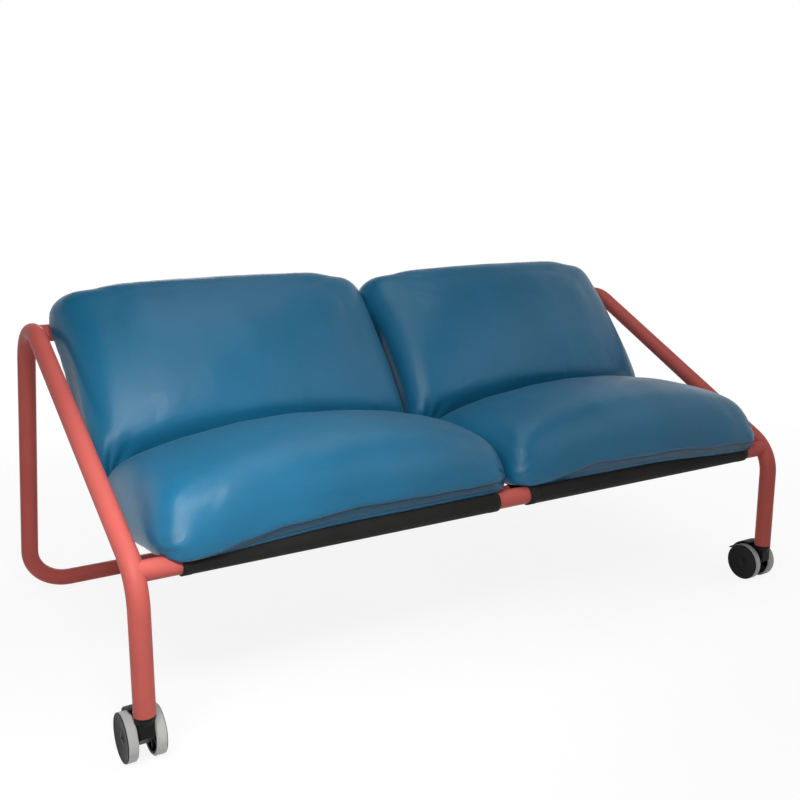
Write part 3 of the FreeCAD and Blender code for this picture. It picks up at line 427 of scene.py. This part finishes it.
def place_points(mesh, points):
    mesh.vertices.foreach_set("co", np.ascontiguousarray(points, dtype=np.float32).ravel())
    mesh.update()


def rise(values, low, high):
    """Smooth step from 0 at low to 1 at high."""
    share = np.clip((values - low) / (high - low), 0.0, 1.0)
    return share * share * (3 - 2 * share)


def fall(values, low, high):
    """Smooth step from 1 at low to 0 at high."""
    return 1 - rise(values, low, high)


def hump(values, width):
    """Bell curve round zero."""
    return np.exp(-(values / width) ** 2)


# Cushions

# Ranges over which a form of the cushions sets in or fades. They are in metres, but a range whose name
# ends in FACING is of a normal's share in a direction, and one that ends in SHARE is of a cushion's side.
SOFT_HEIGHT, SOFT_REACH = (0.02, 0.06), (0.06, 0.12)
WAVE_HEIGHT = (0.0, 0.05)
PLEAT_START, PLEAT_LAYER = (0.004, 0.018), (0.04, 0.08)
PLEAT_EDGE = (-0.15, 0.1)  # in radians
DOME_REACH, SAG_HEIGHT = (0.0, 0.08), (0.02, 0.11)
LIP_DEPTH, LIP_REACH, HANG_REACH = (0.012, 0.05), (0.03, 0.35), (0.0, 0.036)
FRONT_FACING = (0.0, 0.5)
CREASE_RISE_SHARE, CREASE_START_SHARE, CREASE_END_SHARE = (0.02, 0.30), (0.04, 0.22), (0.93, 0.99)
CREASE_DARK = (-0.001, 0.003)
FACE_FACING, END_FACING = (0.1, 0.5), (0.35, 0.75)
WAIST_START_SHARE, WAIST_END_SHARE = (0.05, 0.35), (0.55, 0.85)
CREST_SHARE, EAR_SHARE = (0.6, 1.0), (0.38, 0.49)

# Where a hump lies on a back cushion and how wide it is, as shares of its side
CREST_TOP, CREST_DIP, EAR = (0.84, 0.13), (0.42, 0.2), (0.86, 0.16)

# Lines of a seat's tucks, across from its end and up: the first one's ends, the step to the next one
# and what a leaning tuck adds to its far end
TUCK_START, TUCK_START_STEP = (0.010, 0.006), (0.0, 0.012)
TUCK_END, TUCK_END_STEP, TUCK_END_LEAN = (0.030, 0.013), (0.004, 0.016), (0.3, 1.0)
TUCK_LEAN, TUCK_SEED_TURN, TUCK_TURN = 0.010, 2.3, 1.9
TUCK_SHARES = (0.3, 1.0)  # depth at the left and at the right end
TUCKS, PLEATS = 3, 3

CREASE_WANDER, CREASE_WANDER_PITCH = 0.004, 0.07
CREASE_SWELL_WIDTHS = 3.0  # height of the swell over the crease, in widths of the crease
SEAT_WAVE_PITCH, BACK_WAVE_PITCH = 0.11, 0.13
WAVE_SHIFT = (7.3, 3.1, 5.7)
DOME_FALL, END_LAYER, HANG_SHARE = 3.0, 0.002, 0.6
PLEAT_INSET, PLEAT_RAISE, PLEAT_HEIGHT_PULL = 0.03, 0.01, 0.2
SLEEVE_GAP, MIDDLE_GAP = 0.0012, 0.001

# How dark the painted shade in the folds gets
CREASE_SHADE, CREASE_SHADE_LOSS, TUCK_SHADE, WAIST_SHADE, PLEAT_SHADE = 0.8, 0.4, 0.5, 0.6, 0.3


def outer_skin(node):
    """Merged copy of the outside of a cushion cover, without its lining."""
    skin = merged_copy(node)
    start = max(skin.verts, key=lambda vert: vert.co.z)
    reached, queue = {start}, [start]
    while queue:
        vert = queue.pop()
        for edge in vert.link_edges:
            other = edge.other_vert(vert)
            if other not in reached:
                reached.add(other)
                queue.append(other)
    bmesh.ops.delete(skin, geom=[vert for vert in skin.verts if vert not in reached], context="VERTS")
    return skin


class Bed:
    """The flat side that a cushion rests on, and the side next to it that meets the other cushion."""

    def __init__(self, skin, meets):
        face = max(skin.faces, key=lambda item: item.calc_area())
        self.out = np.array(face.normal)
        self.level = float(self.out @ np.array(face.calc_center_median()))
        self.along = np.array((0.0, self.out[2], -self.out[1]))
        if self.along[1] + self.along[2] < 0:
            self.along = -self.along
        self.meets = self.along * meets

    def height(self, points):
        return self.level - points @ self.out

    def way(self, points):
        return points @ self.along

    def free(self, normal):
        """Whether nothing is near a face that looks this way."""
        return abs(normal.x) < 0.7 and np.dot(self.out, normal) < 0.3 and np.dot(self.meets, normal) < 0.5


def evened(mesh, field, rounds):
    """Values at a mesh's points, averaged with their neighbours a number of times."""
    ends = np.empty(len(mesh.edges) * 2, dtype=np.int32)
    mesh.edges.foreach_get("vertices", ends)
    first, second = ends.reshape(-1, 2).T
    count = np.bincount(ends, minlength=len(field))
    for turn in range(rounds):
        sums = [np.bincount(first, column[second], len(field))
                + np.bincount(second, column[first], len(field)) for column in field.T]
        field = (field + np.array(sums).T / count[:, None]) / 2
    return field


def drawn_out(mesh, tree, rounds):
    """Points of a softened mesh, brought out again to the form that it was softened from."""
    points, normals = points_of(mesh), normals_of(mesh)
    nearest = np.array([tree.find_nearest(Vector(point))[0] for point in points])
    lag = np.sum((nearest - points) * normals, axis=1, keepdims=True)
    return points + normals * evened(mesh, lag, rounds)


def hold_to_form(points, tree, bed, cushions):
    """Points held within the CAD form, and a little outside it where nothing is near."""
    held = points.copy()
    for index, point in enumerate(points):
        near, normal = tree.find_nearest(Vector(point))[:2]
        room = cushions.proud if bed.free(normal) else 0.0
        if (Vector(point) - near).dot(normal) > room:
            held[index] = near + normal * room
    return held


def blow_up(work, resting, cushions):
    """Blow up a cover with air while its resting side is held, and apply the result."""
    held = work.vertex_groups.new(name="held")
    held.add([int(index) for index in np.flatnonzero(resting)], 1.0, "REPLACE")
    cloth = work.modifiers.new("Cloth", "CLOTH")
    cloth.settings.use_pressure = True
    cloth.settings.uniform_pressure_force = cushions.pressure
    cloth.settings.effector_weights.gravity = 0.0
    cloth.settings.vertex_group_mass = "held"
    cloth.settings.quality = 5
    cloth.collision_settings.use_collision = False
    cloth.point_cache.frame_start = 1
    cloth.point_cache.frame_end = cushions.frames
    for number in range(1, cushions.frames + 1):
        bpy.context.scene.frame_set(number)
    settle(work)
    bpy.context.scene.frame_set(1)


def filled_cover(node, meets, cushions):
    """Mesh of a cushion: the CAD form of its cover with the swell and creases of one that was blown up."""
    skin = outer_skin(node)
    bed = Bed(skin, meets)
    tree = BVHTree.FromBMesh(skin)
    work = bpy.data.objects.new("work", mesh_of(skin, "work"))
    bpy.context.scene.collection.objects.link(work)
    remesh = work.modifiers.new("Remesh", "REMESH")
    remesh.mode = "VOXEL"
    remesh.voxel_size = cushions.voxel
    soften = work.modifiers.new("Soften", "SMOOTH")
    soften.factor = 0.5
    soften.iterations = cushions.soften_rounds
    settle(work)
    points, normals = drawn_out(work.data, tree, cushions.soften_rounds), normals_of(work.data)
    resting = bed.height(points) < cushions.voxel
    start = points - normals * np.where(resting, 0.0, cushions.start_inset)[:, None]
    place_points(work.data, start)
    blow_up(work, resting, cushions)
    moved = points_of(work.data) - start
    length = np.linalg.norm(moved, axis=1, keepdims=True)
    change = start + moved * np.minimum(1.0, cushions.cap / np.maximum(length, 1e-9)) - points
    swell = evened(work.data, change, cushions.swell_rounds)
    creases = change - swell
    swell -= np.minimum(np.sum(swell * normals, axis=1, keepdims=True), 0.0) * normals
    points = points + swell * cushions.swell + creases * cushions.creases
    points = hold_to_form(points, tree, bed, cushions)
    from_end = np.minimum(points[:, 0] - points[:, 0].min(), points[:, 0].max() - points[:, 0])
    ends = rise(bed.height(points), *SOFT_HEIGHT) * fall(from_end, *SOFT_REACH)
    points += ends[:, None] * (evened(work.data, points, cushions.end_rounds) - points)
    place_points(work.data, points)
    divide = work.modifiers.new("Divide", "SUBSURF")
    divide.levels = divide.render_levels = 1
    settle(work)
    mesh = work.data
    bpy.data.objects.remove(work)
    return mesh, bed


def uneven(points, amount, pitch, seed):
    """Soft unevenness, the same each time."""
    shift = Vector([seed * step for step in WAVE_SHIFT])
    return np.array([noise.noise(Vector(point) / pitch + shift) for point in points]) * amount


def pleats(points, corner, away, across, cushions, sway):
    """Depth of pleats that fan out from a corner between two directions."""
    offset = points - corner
    run, side = offset @ away, offset @ across
    reach = np.hypot(run, side)
    angle = np.arctan2(side, run)
    fan = 0.5 - 0.5 * np.cos(2 * math.pi * PLEATS * (angle / (math.pi / 2)) + sway)
    strength = rise(reach, *PLEAT_START) * np.exp(-reach / cushions.pleat_reach)
    inside = rise(angle, *PLEAT_EDGE) * rise(math.pi / 2 - angle, *PLEAT_EDGE)
    depth = np.abs(offset @ np.cross(away, across))
    return fan * strength * inside * fall(depth, *PLEAT_LAYER)


def tuck(across, up, start, end, width):
    """Depth of a short tuck along a line on a face, fading out at its ends."""
    line = np.subtract(end, start)
    length = math.hypot(*line)
    run = ((across - start[0]) * line[0] + (up - start[1]) * line[1]) / length
    side = ((across - start[0]) * line[1] - (up - start[1]) * line[0]) / length
    return hump(side, width) * rise(run, -width, width) * fall(run, length - 2 * width, length + width)


def corner_tucks(from_end, height, seed, width):
    """Depths of the tucks over a seat's front at one of its corners, one after the other."""
    for number in range(TUCKS):
        lean = TUCK_LEAN * math.sin(TUCK_SEED_TURN * seed + TUCK_TURN * number)
        start = np.add(TUCK_START, np.multiply(TUCK_START_STEP, number))
        end = np.add(TUCK_END, np.multiply(TUCK_END_STEP, number)) + np.multiply(TUCK_END_LEAN, lean)
        yield tuck(from_end, height, start, end, width)


def clear_of(points, axis, radius):
    """Points moved out of a round rail that lies along the sofa."""
    offset = points[:, 1:] - (axis.y, axis.z)
    distance = np.maximum(np.linalg.norm(offset, axis=1, keepdims=True), 1e-6)
    moved = points.copy()
    moved[:, 1:] += offset * np.maximum(radius / distance - 1.0, 0.0)
    return moved


def sagged(points, bed, outer, cushions):
    """Points of a seat whose outer end is domed and droops past the sling, in front of the rail."""
    height, way = bed.height(points), bed.way(points)
    end = points[:, 0].max() if outer > 0 else points[:, 0].min()
    from_end = np.abs(points[:, 0] - end)
    face = from_end < END_LAYER
    middle = points[face].mean(axis=0)
    wide, tall = np.ptp(way[face]), np.ptp(height[face])
    away = ((way - bed.way(middle)) / wide) ** 2 + ((height - bed.height(middle)) / tall) ** 2
    dome = np.exp(-DOME_FALL * away) * fall(from_end, *DOME_REACH) * cushions.end_dome
    low = fall(height, *SAG_HEIGHT)
    ahead = fall(way - way.min(), *LIP_DEPTH)
    lip = fall(from_end, *LIP_REACH) * low * ahead
    hang = fall(from_end, *HANG_REACH) * low * (1 - ahead) * HANG_SHARE
    down = bed.out * cushions.droop
    forward = -bed.along * cushions.droop_forward
    sideways = np.outer(dome, (outer, 0.0, 0.0))
    return points + sideways + np.outer(lip, down + forward) + np.outer(hang, down)


def shape_seat(mesh, bed, cushions, seed, outer):
    """Front of a seat, which turns under at a crease over the sleeve, its tucks and its sagging outer end."""
    points, normals = points_of(mesh), normals_of(mesh)
    low, high = points.min(axis=0), points.max(axis=0)
    height = bed.height(points)
    front = rise(-(normals @ bed.along), *FRONT_FACING)
    share = (points[:, 0] - low[0]) / (high[0] - low[0])
    line = cushions.crease_height * rise(share, *CREASE_RISE_SHARE)
    level = height - line - uneven(points * (1.0, 0.0, 0.0), CREASE_WANDER, CREASE_WANDER_PITCH, seed)
    strength = rise(share, *CREASE_START_SHARE) * fall(share, *CREASE_END_SHARE) * front
    depth = np.clip(-level / cushions.crease_height, 0.0, 1.0)
    under = rise(-level, 0.0, cushions.crease_width)
    over = np.where(level > 0, hump(level, CREASE_SWELL_WIDTHS * cushions.crease_width), 1.0) * (1 - under)
    inward = strength * ((under + depth) / 2 * cushions.crease_depth - over * cushions.crease_swell)
    # painted shade in the strip under the crease, darkest just under it and lighter towards the lip
    fold = strength * rise(-level, *CREASE_DARK) * (CREASE_SHADE - CREASE_SHADE_LOSS * depth)
    for from_end, share_deep in zip((points[:, 0] - low[0], high[0] - points[:, 0]), TUCK_SHARES):
        for tucked in corner_tucks(from_end, height, seed, cushions.tuck_width):
            deep = tucked * front * share_deep
            inward = inward + deep * cushions.tuck_depth
            # painted shade in each tuck
            fold = np.maximum(fold, TUCK_SHADE * deep)
    inward = inward + uneven(points, cushions.unevenness, SEAT_WAVE_PITCH, seed) * rise(height, *WAVE_HEIGHT)
    points = sagged(points - normals * inward[:, None], bed, outer, cushions)
    rail = sum(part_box("front_rail"), Vector()) / 2
    sleeve = rail.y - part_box("left_sling")[0].y
    place_points(mesh, clear_of(points, rail, sleeve + SLEEVE_GAP))
    keep_painted_shade(mesh, fold)


def shape_back(mesh, bed, cushions, seed, outer):
    """Drawn-in ends of a back, its uneven top, its ears and the pleats at its lower corners."""
    points, normals = points_of(mesh), normals_of(mesh)
    low, high = points.min(axis=0), points.max(axis=0)
    height, way_up = bed.height(points), bed.way(points)
    facing = rise(-(normals @ bed.out), *FACE_FACING)
    foot, head = way_up[facing > 0.5].min(), way_up.max()
    share = (way_up - foot) / (head - foot)
    ends = rise(np.abs(normals[:, 0]), *END_FACING)
    waist = rise(share, *WAIST_START_SHARE) * fall(share, *WAIST_END_SHARE) * ends
    waist = waist * hump(height - cushions.waist_height, cushions.waist_width)
    across = (points[:, 0] - low[0]) / (high[0] - low[0])
    crest = hump(across - CREST_TOP[0], CREST_TOP[1]) * cushions.crest_lift
    crest = crest - hump(across - CREST_DIP[0], CREST_DIP[1]) * cushions.crest_dip
    from_middle = across - 0.5
    ears = rise(np.abs(from_middle), *EAR_SHARE) * np.sign(from_middle) * cushions.ear
    ears = ears * hump(share - EAR[0], EAR[1])
    points = points + np.outer(crest * rise(share, *CREST_SHARE), bed.along) + np.outer(ears, (1.0, 0.0, 0.0))
    # painted shade along the drawn-in line of the ends
    inward, fold = waist * cushions.waist_depth, waist * WAIST_SHADE
    for end, way in ((low[0], 1.0), (high[0], -1.0)):
        far = np.abs(points[:, 0] - end - way * PLEAT_INSET) + np.abs(way_up - foot - PLEAT_RAISE)
        corner = points[np.argmin(far - PLEAT_HEIGHT_PULL * height)]
        creases = pleats(points, corner, np.array((way, 0.0, 0.0)), bed.along, cushions, seed + way) * facing
        inward = inward + creases * cushions.pleat_depth
        # painted shade in the pleats
        fold = np.maximum(fold, creases * PLEAT_SHADE)
    inward = inward + uneven(points, cushions.unevenness, BACK_WAVE_PITCH, seed) * rise(height, *WAVE_HEIGHT)
    points = points - normals * inward[:, None]
    points[:, 0] = outer * np.maximum(outer * points[:, 0], MIDDLE_GAP)
    place_points(mesh, points)
    keep_painted_shade(mesh, fold)


def keep_painted_shade(mesh, values):
    """Store the painted shade of each point, darkest deep in a crease, for the material."""
    attribute = mesh.attributes.new("fold", "FLOAT", "POINT")
    attribute.data.foreach_set("value", np.clip(values, 0.0, 1.0).astype(np.float32))


# Kind of cushion, how it is shaped, which way along its bed the other kind lies and how full it is
CUSHION_KINDS = (("seat", shape_seat, 1.0, 0.75), ("back", shape_back, -1.0, 0.7))


class SOFA_OT_make_cushions(bpy.types.Operator):
    """Fill the seat and back cushions and shape their folds"""
    bl_idname = "sofa.make_cushions"
    bl_label = "Make Cushions"

    def execute(self, context):
        cushions = context.scene.sofa_cushions
        cover = upholstery(context.scene.sofa_colours, cushions)
        for number, (kind, shape, meets, fill) in enumerate(CUSHION_KINDS):
            mesh, bed = filled_cover("left_%s_cover" % kind, meets, cushions)
            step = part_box("right_%s_cover" % kind)[0].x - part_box("left_%s_cover" % kind)[0].x
            other = mesh.copy()
            other.transform(Matrix.Translation((step, 0.0, 0.0)))
            for side, made in zip(SIDES, (mesh, other)):
                name = "%s_%s_cushion" % (side, kind)
                made.name = name
                seed, outer = 1.0 + 2.0 * number + SIDES.index(side), -1.0 if side == "left" else 1.0
                shape(made, bed, cushions, seed, outer)
                made.shade_smooth()
                piece = add_piece(name, made, cover, "frame")
                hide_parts("%s_%s_cover" % (side, kind), "%s_%s_core" % (side, kind))
        return {"FINISHED"}


# Slings

HEM_STEP = 0.001
BARE_SEAM, BARE_HEM = 0.0015, 0.001  # from a rail to where a seam and a hem begin to show
CUTS_ACROSS, CUTS_ALONG = 30, 24
STRIP_ROUND, STRIP_FLAT = 0.0005, 0.02  # rounding of a strip's edges, and angle in radians that is flat


def cut_across(work, axis, places):
    """Cut a mesh by planes across an axis."""
    normal = Vector((0.0, 0.0, 0.0))
    normal[axis] = 1.0
    for place in places:
        point = Vector((0.0, 0.0, 0.0))
        point[axis] = place
        bmesh.ops.bisect_plane(work, geom=work.verts[:] + work.edges[:] + work.faces[:], dist=1e-6,
                               plane_co=point, plane_no=normal)


def ring_at(work, place):
    """Points of a sling's outline at a place along the sofa, in order round it."""
    cut = work.copy()
    made = bmesh.ops.bisect_plane(cut, geom=cut.verts[:] + cut.edges[:] + cut.faces[:], dist=1e-7,
                                  plane_co=(place, 0.0, 0.0), plane_no=(1.0, 0.0, 0.0))["geom_cut"]
    edges = {item for item in made if isinstance(item, bmesh.types.BMEdge)}
    edge = min(edges, key=lambda item: item.verts[0].co.z)
    vert, ring = edge.verts[0], []
    while edges:
        ring.append(vert.co.copy())
        edge = next((item for item in vert.link_edges if item in edges), None)
        if edge is None:
            break
        edges.discard(edge)
        vert = edge.other_vert(vert)
    cut.free()
    return ring


def stitch_along(work, line, slings, shows):
    """Stitches along a line of points round a sling, where the test says that they show."""
    shape = bmesh.new()
    bmesh.ops.create_uvsphere(shape, u_segments=6, v_segments=4, radius=1.0, matrix=Matrix.Diagonal(
        (slings.stitch / 2, slings.thread, slings.thread, 1.0)))
    stitch = mesh_of(shape, "stitch")
    ahead = slings.stitch_pitch / 2
    for start, end in zip(line, line[1:]):
        way = end - start
        while ahead < way.length:
            point = start + way.normalized() * ahead
            ahead += slings.stitch_pitch
            if shows(point):
                turned = stitch.copy()
                turned.transform(Matrix.Translation(point) @ way.to_track_quat("X", "Z").to_matrix().to_4x4())
                work.from_mesh(turned)
                bpy.data.meshes.remove(turned)
        ahead -= way.length
    bpy.data.meshes.remove(stitch)


class SOFA_OT_make_slings(bpy.types.Operator):
    """Make the two cloth slings with their hems, seams and closing strips"""
    bl_idname = "sofa.make_slings"
    bl_label = "Make Slings"

    def execute(self, context):
        colours, slings = context.scene.sofa_colours, context.scene.sofa_slings
        cloth = woven_cloth("sling_cloth", colours.sling, slings.weave)
        thread = moulded("thread", colours.thread, rough=0.6)
        tape = moulded("closure_tape", colours.sling, rough=0.8)
        rails = [sum(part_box(name), Vector()) / 2 for name in ("front_rail", "top_rail")]
        rail_radius = (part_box("front_rail")[1].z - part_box("front_rail")[0].z) / 2
        for side in SIDES:
            node = "%s_sling" % side
            low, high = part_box(node)
            work = merged_copy(node)
            hems = (low.x + slings.hem, high.x - slings.hem)
            seams = bmesh.new()
            for place in hems:
                ring = ring_at(work, place)
                stitch_along(seams, ring + ring[:1], slings, lambda point: rail_radius + BARE_SEAM < min(
                    math.hypot(point.y - rail.y, point.z - rail.z) for rail in rails))
            ring = ring_at(work, hems[0])
            cuts = [hems[0], hems[0] + HEM_STEP, hems[1] - HEM_STEP, hems[1]]
            cuts += [low.x + (high.x - low.x) * step / CUTS_ACROSS for step in range(1, CUTS_ACROSS)]
            cut_across(work, 0, sorted(cuts))
            cuts = [low.y + (high.y - low.y) * step / CUTS_ALONG for step in range(1, CUTS_ALONG)]
            cut_across(work, 1, cuts)
            bmesh.ops.recalc_face_normals(work, faces=work.faces)
            mesh = mesh_of(work, node)
            points, normals = points_of(mesh), normals_of(mesh)
            edge = np.minimum(points[:, 0] - low.x, high.x - points[:, 0])
            bare = np.min([np.hypot(points[:, 1] - rail.y, points[:, 2] - rail.z) for rail in rails], axis=0)
            hem = fall(edge, slings.hem, slings.hem + HEM_STEP) * (bare > rail_radius + BARE_HEM)
            place_points(mesh, points + normals * (hem * slings.hem_rise)[:, None])
            piece = add_piece(side + "_sling_cloth", mesh, cloth, "frame")
            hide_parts(node)
            seam = add_piece(side + "_sling_seams", mesh_of(seams, side + "_sling_seams"), thread, "frame")
            for end in ("front", "top"):
                name = "%s_%s_closure" % (side, end)
                strip = merged_copy(name)
                bmesh.ops.dissolve_limit(strip, angle_limit=STRIP_FLAT, verts=strip.verts, edges=strip.edges)
                bmesh.ops.bevel(strip, geom=strip.edges[:], offset=STRIP_ROUND, segments=2, profile=0.5,
                                affect="EDGES", material=-1)
                add_piece(name + "_strip", mesh_of(strip, name), tape, "frame")
                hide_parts(name)
        return {"FINISHED"}


# Stage

# Name of a lamp, its place, its target, its size and the spread of its light in degrees
LAMPS = (
    ("top", (0.0, -0.2, 2.4), (0.0, -0.1, 0.4), 1.4, 180.0),
    ("front", (-1.5, -3.0, 1.3), (-0.1, -0.2, 0.45), 0.5, 180.0),
    ("near", (-0.82, -1.17, 1.16), (-0.5, -0.35, 0.38), 0.2, 110.0),
    ("side", (-1.05, -0.85, 1.05), (-0.6, -0.3, 0.4), 0.4, 80.0),
    ("back", (0.6, 2.8, 1.0), (0.0, 0.3, 0.4), 1.2, 180.0),
    ("fill", (1.3, -1.2, 2.0), (0.2, 0.0, 0.45), 1.5, 180.0),
)
WHITE = (1.0, 1.0, 1.0, 1.0)
FLOOR_GREY = (0.85, 0.85, 0.85, 1.0)  # for the light that the floor throws back at the sofa
FAINT_GREY = (0.16, 0.16, 0.16, 1.0)  # for the shadow that is seen on it
GLOW_REACH, GLOW = (0.8, 3.0), (0.88, 1.0)  # from the floor's middle, and its glow there and beyond
WHITE_RISE = (0.35, 0.7)  # upward share of a direction, over which the white room turns dim


def aimed(place, target):
    """Turn that points a lamp from a place at a target."""
    return (Vector(target) - Vector(place)).to_track_quat("-Z", "Y").to_euler()


def add_lamp(name, place, target, size, power, cone):
    """A round soft lamp, hidden from the camera, whose light spreads over a cone in degrees."""
    data = bpy.data.lights.new(name, "AREA")
    data.shape = "DISK"
    data.size = size
    data.energy = power
    data.spread = math.radians(cone)
    lamp = bpy.data.objects.new(name, data)
    lamp.location = place
    lamp.rotation_euler = aimed(place, target)
    lamp.visible_camera = False
    bpy.context.scene.collection.objects.link(lamp)


def seen_directly(tree):
    """One for a ray from the camera or a mirror reflection, which sees the white surroundings."""
    path = add_node(tree, "ShaderNodeLightPath")
    seen = combine(tree, "MAXIMUM", path.outputs["Is Camera Ray"], path.outputs["Is Glossy Ray"])
    return combine(tree, "MAXIMUM", seen, path.outputs["Is Transmission Ray"])


class SOFA_OT_set_stage(bpy.types.Operator):
    """Lay the pale floor, hang the lamps and set up the camera"""
    bl_idname = "sofa.set_stage"
    bl_label = "Set Stage"

    def execute(self, context):
        scene, stage = context.scene, context.scene.sofa_stage
        scene.view_settings.view_transform = "Standard"
        self.lay_floor(stage)
        self.light(scene, stage)
        camera = bpy.data.objects.new("camera", bpy.data.cameras.new("camera"))
        camera.location = stage.camera_place
        camera.rotation_euler = (stage.camera_tilt, 0.0, stage.camera_turn)
        camera.data.lens = stage.lens
        camera.data.clip_end = 100.0
        scene.collection.objects.link(camera)
        scene.camera = camera
        return {"FINISHED"}

    def lay_floor(self, stage):
        """A floor that looks white, with a faint shadow, and throws light back."""
        sheet = bmesh.new()
        bmesh.ops.create_grid(sheet, x_segments=8, y_segments=8, size=stage.floor_size / 2)
        floor = bpy.data.objects.new("floor", mesh_of(sheet, "floor"))
        bpy.context.scene.collection.objects.link(floor)
        material, tree, shader = new_material("pale_floor")
        floor.data.materials.append(material)
        tree.nodes.remove(shader)
        matt = add_node(tree, "ShaderNodeBsdfDiffuse", [("Color", FLOOR_GREY)])
        faint = add_node(tree, "ShaderNodeBsdfDiffuse", [("Color", FAINT_GREY)])
        far = add_node(tree, "ShaderNodeVectorMath", [(0, object_place(tree))], operation="LENGTH")
        level = ranged(tree, far.outputs["Value"], GLOW_REACH, GLOW)
        glow = add_node(tree, "ShaderNodeEmission", [("Strength", level)])
        white = add_node(tree, "ShaderNodeAddShader", [(0, faint.outputs[0]), (1, glow.outputs[0])])
        mixed = add_node(tree, "ShaderNodeMixShader", [(0, seen_directly(tree)), (1, matt.outputs[0]),
                                                       (2, white.outputs[0])])
        tree.links.new(mixed.outputs[0], tree.nodes["Material Output"].inputs["Surface"])

    def light(self, scene, stage):
        """Dim light from all sides, white surroundings for the eye, and the lamps."""
        world = bpy.data.worlds.new("white_room")
        world.use_nodes = True
        tree = world.node_tree
        scene.world = world
        room = tree.nodes["Background"]
        room.inputs["Strength"].default_value = stage.ambient
        room.inputs["Color"].default_value = WHITE
        way = add_node(tree, "ShaderNodeTexCoord").outputs["Generated"]
        up = add_node(tree, "ShaderNodeSeparateXYZ", [("Vector", way)]).outputs["Z"]
        level = ranged(tree, up, WHITE_RISE, (1.0, stage.ambient))
        white = add_node(tree, "ShaderNodeBackground", [("Color", WHITE), ("Strength", level)])
        mixed = add_node(tree, "ShaderNodeMixShader", [(0, seen_directly(tree)), (1, room.outputs[0]),
                                                       (2, white.outputs[0])])
        tree.links.new(mixed.outputs[0], tree.nodes["World Output"].inputs["Surface"])
        for name, place, target, size, cone in LAMPS:
            add_lamp(name + "_lamp", place, target, size, getattr(stage, name + "_power"), cone)


class SOFA_PT_panel(bpy.types.Panel):
    """Steps and sizes of the sofa"""
    bl_idname = "SOFA_PT_panel"
    bl_label = "Lounge Sofa"
    bl_space_type = "VIEW_3D"
    bl_region_type = "UI"
    bl_category = "Sofa"

    def draw(self, context):
        layout = self.layout
        for operator in OPERATORS:
            layout.operator(operator.bl_idname)
        for group in GROUPS:
            box = layout.box()
            settings = getattr(context.scene, GROUPS[group])
            for name in group.__annotations__:
                box.prop(settings, name)


OPERATORS = (SOFA_OT_coat_frame, SOFA_OT_finish_casters, SOFA_OT_make_slings, SOFA_OT_make_cushions,
             SOFA_OT_set_stage)
GROUPS = {SofaColours: "sofa_colours", SofaCushions: "sofa_cushions", SofaSlings: "sofa_slings",
          SofaStage: "sofa_stage"}


def register():
    for item in (*GROUPS, *OPERATORS, SOFA_PT_panel):
        bpy.utils.register_class(item)
    for group, name in GROUPS.items():
        setattr(bpy.types.Scene, name, PointerProperty(type=group))


def unregister():
    for name in GROUPS.values():
        delattr(bpy.types.Scene, name)
    for item in (SOFA_PT_panel, *reversed(OPERATORS), *reversed(list(GROUPS))):
        bpy.utils.unregister_class(item)


def main():
    register()
    bpy.ops.sofa.coat_frame()
    bpy.ops.sofa.finish_casters()
    bpy.ops.sofa.make_slings()
    bpy.ops.sofa.make_cushions()
    bpy.ops.sofa.set_stage()


if __name__ == "__main__":
    main()
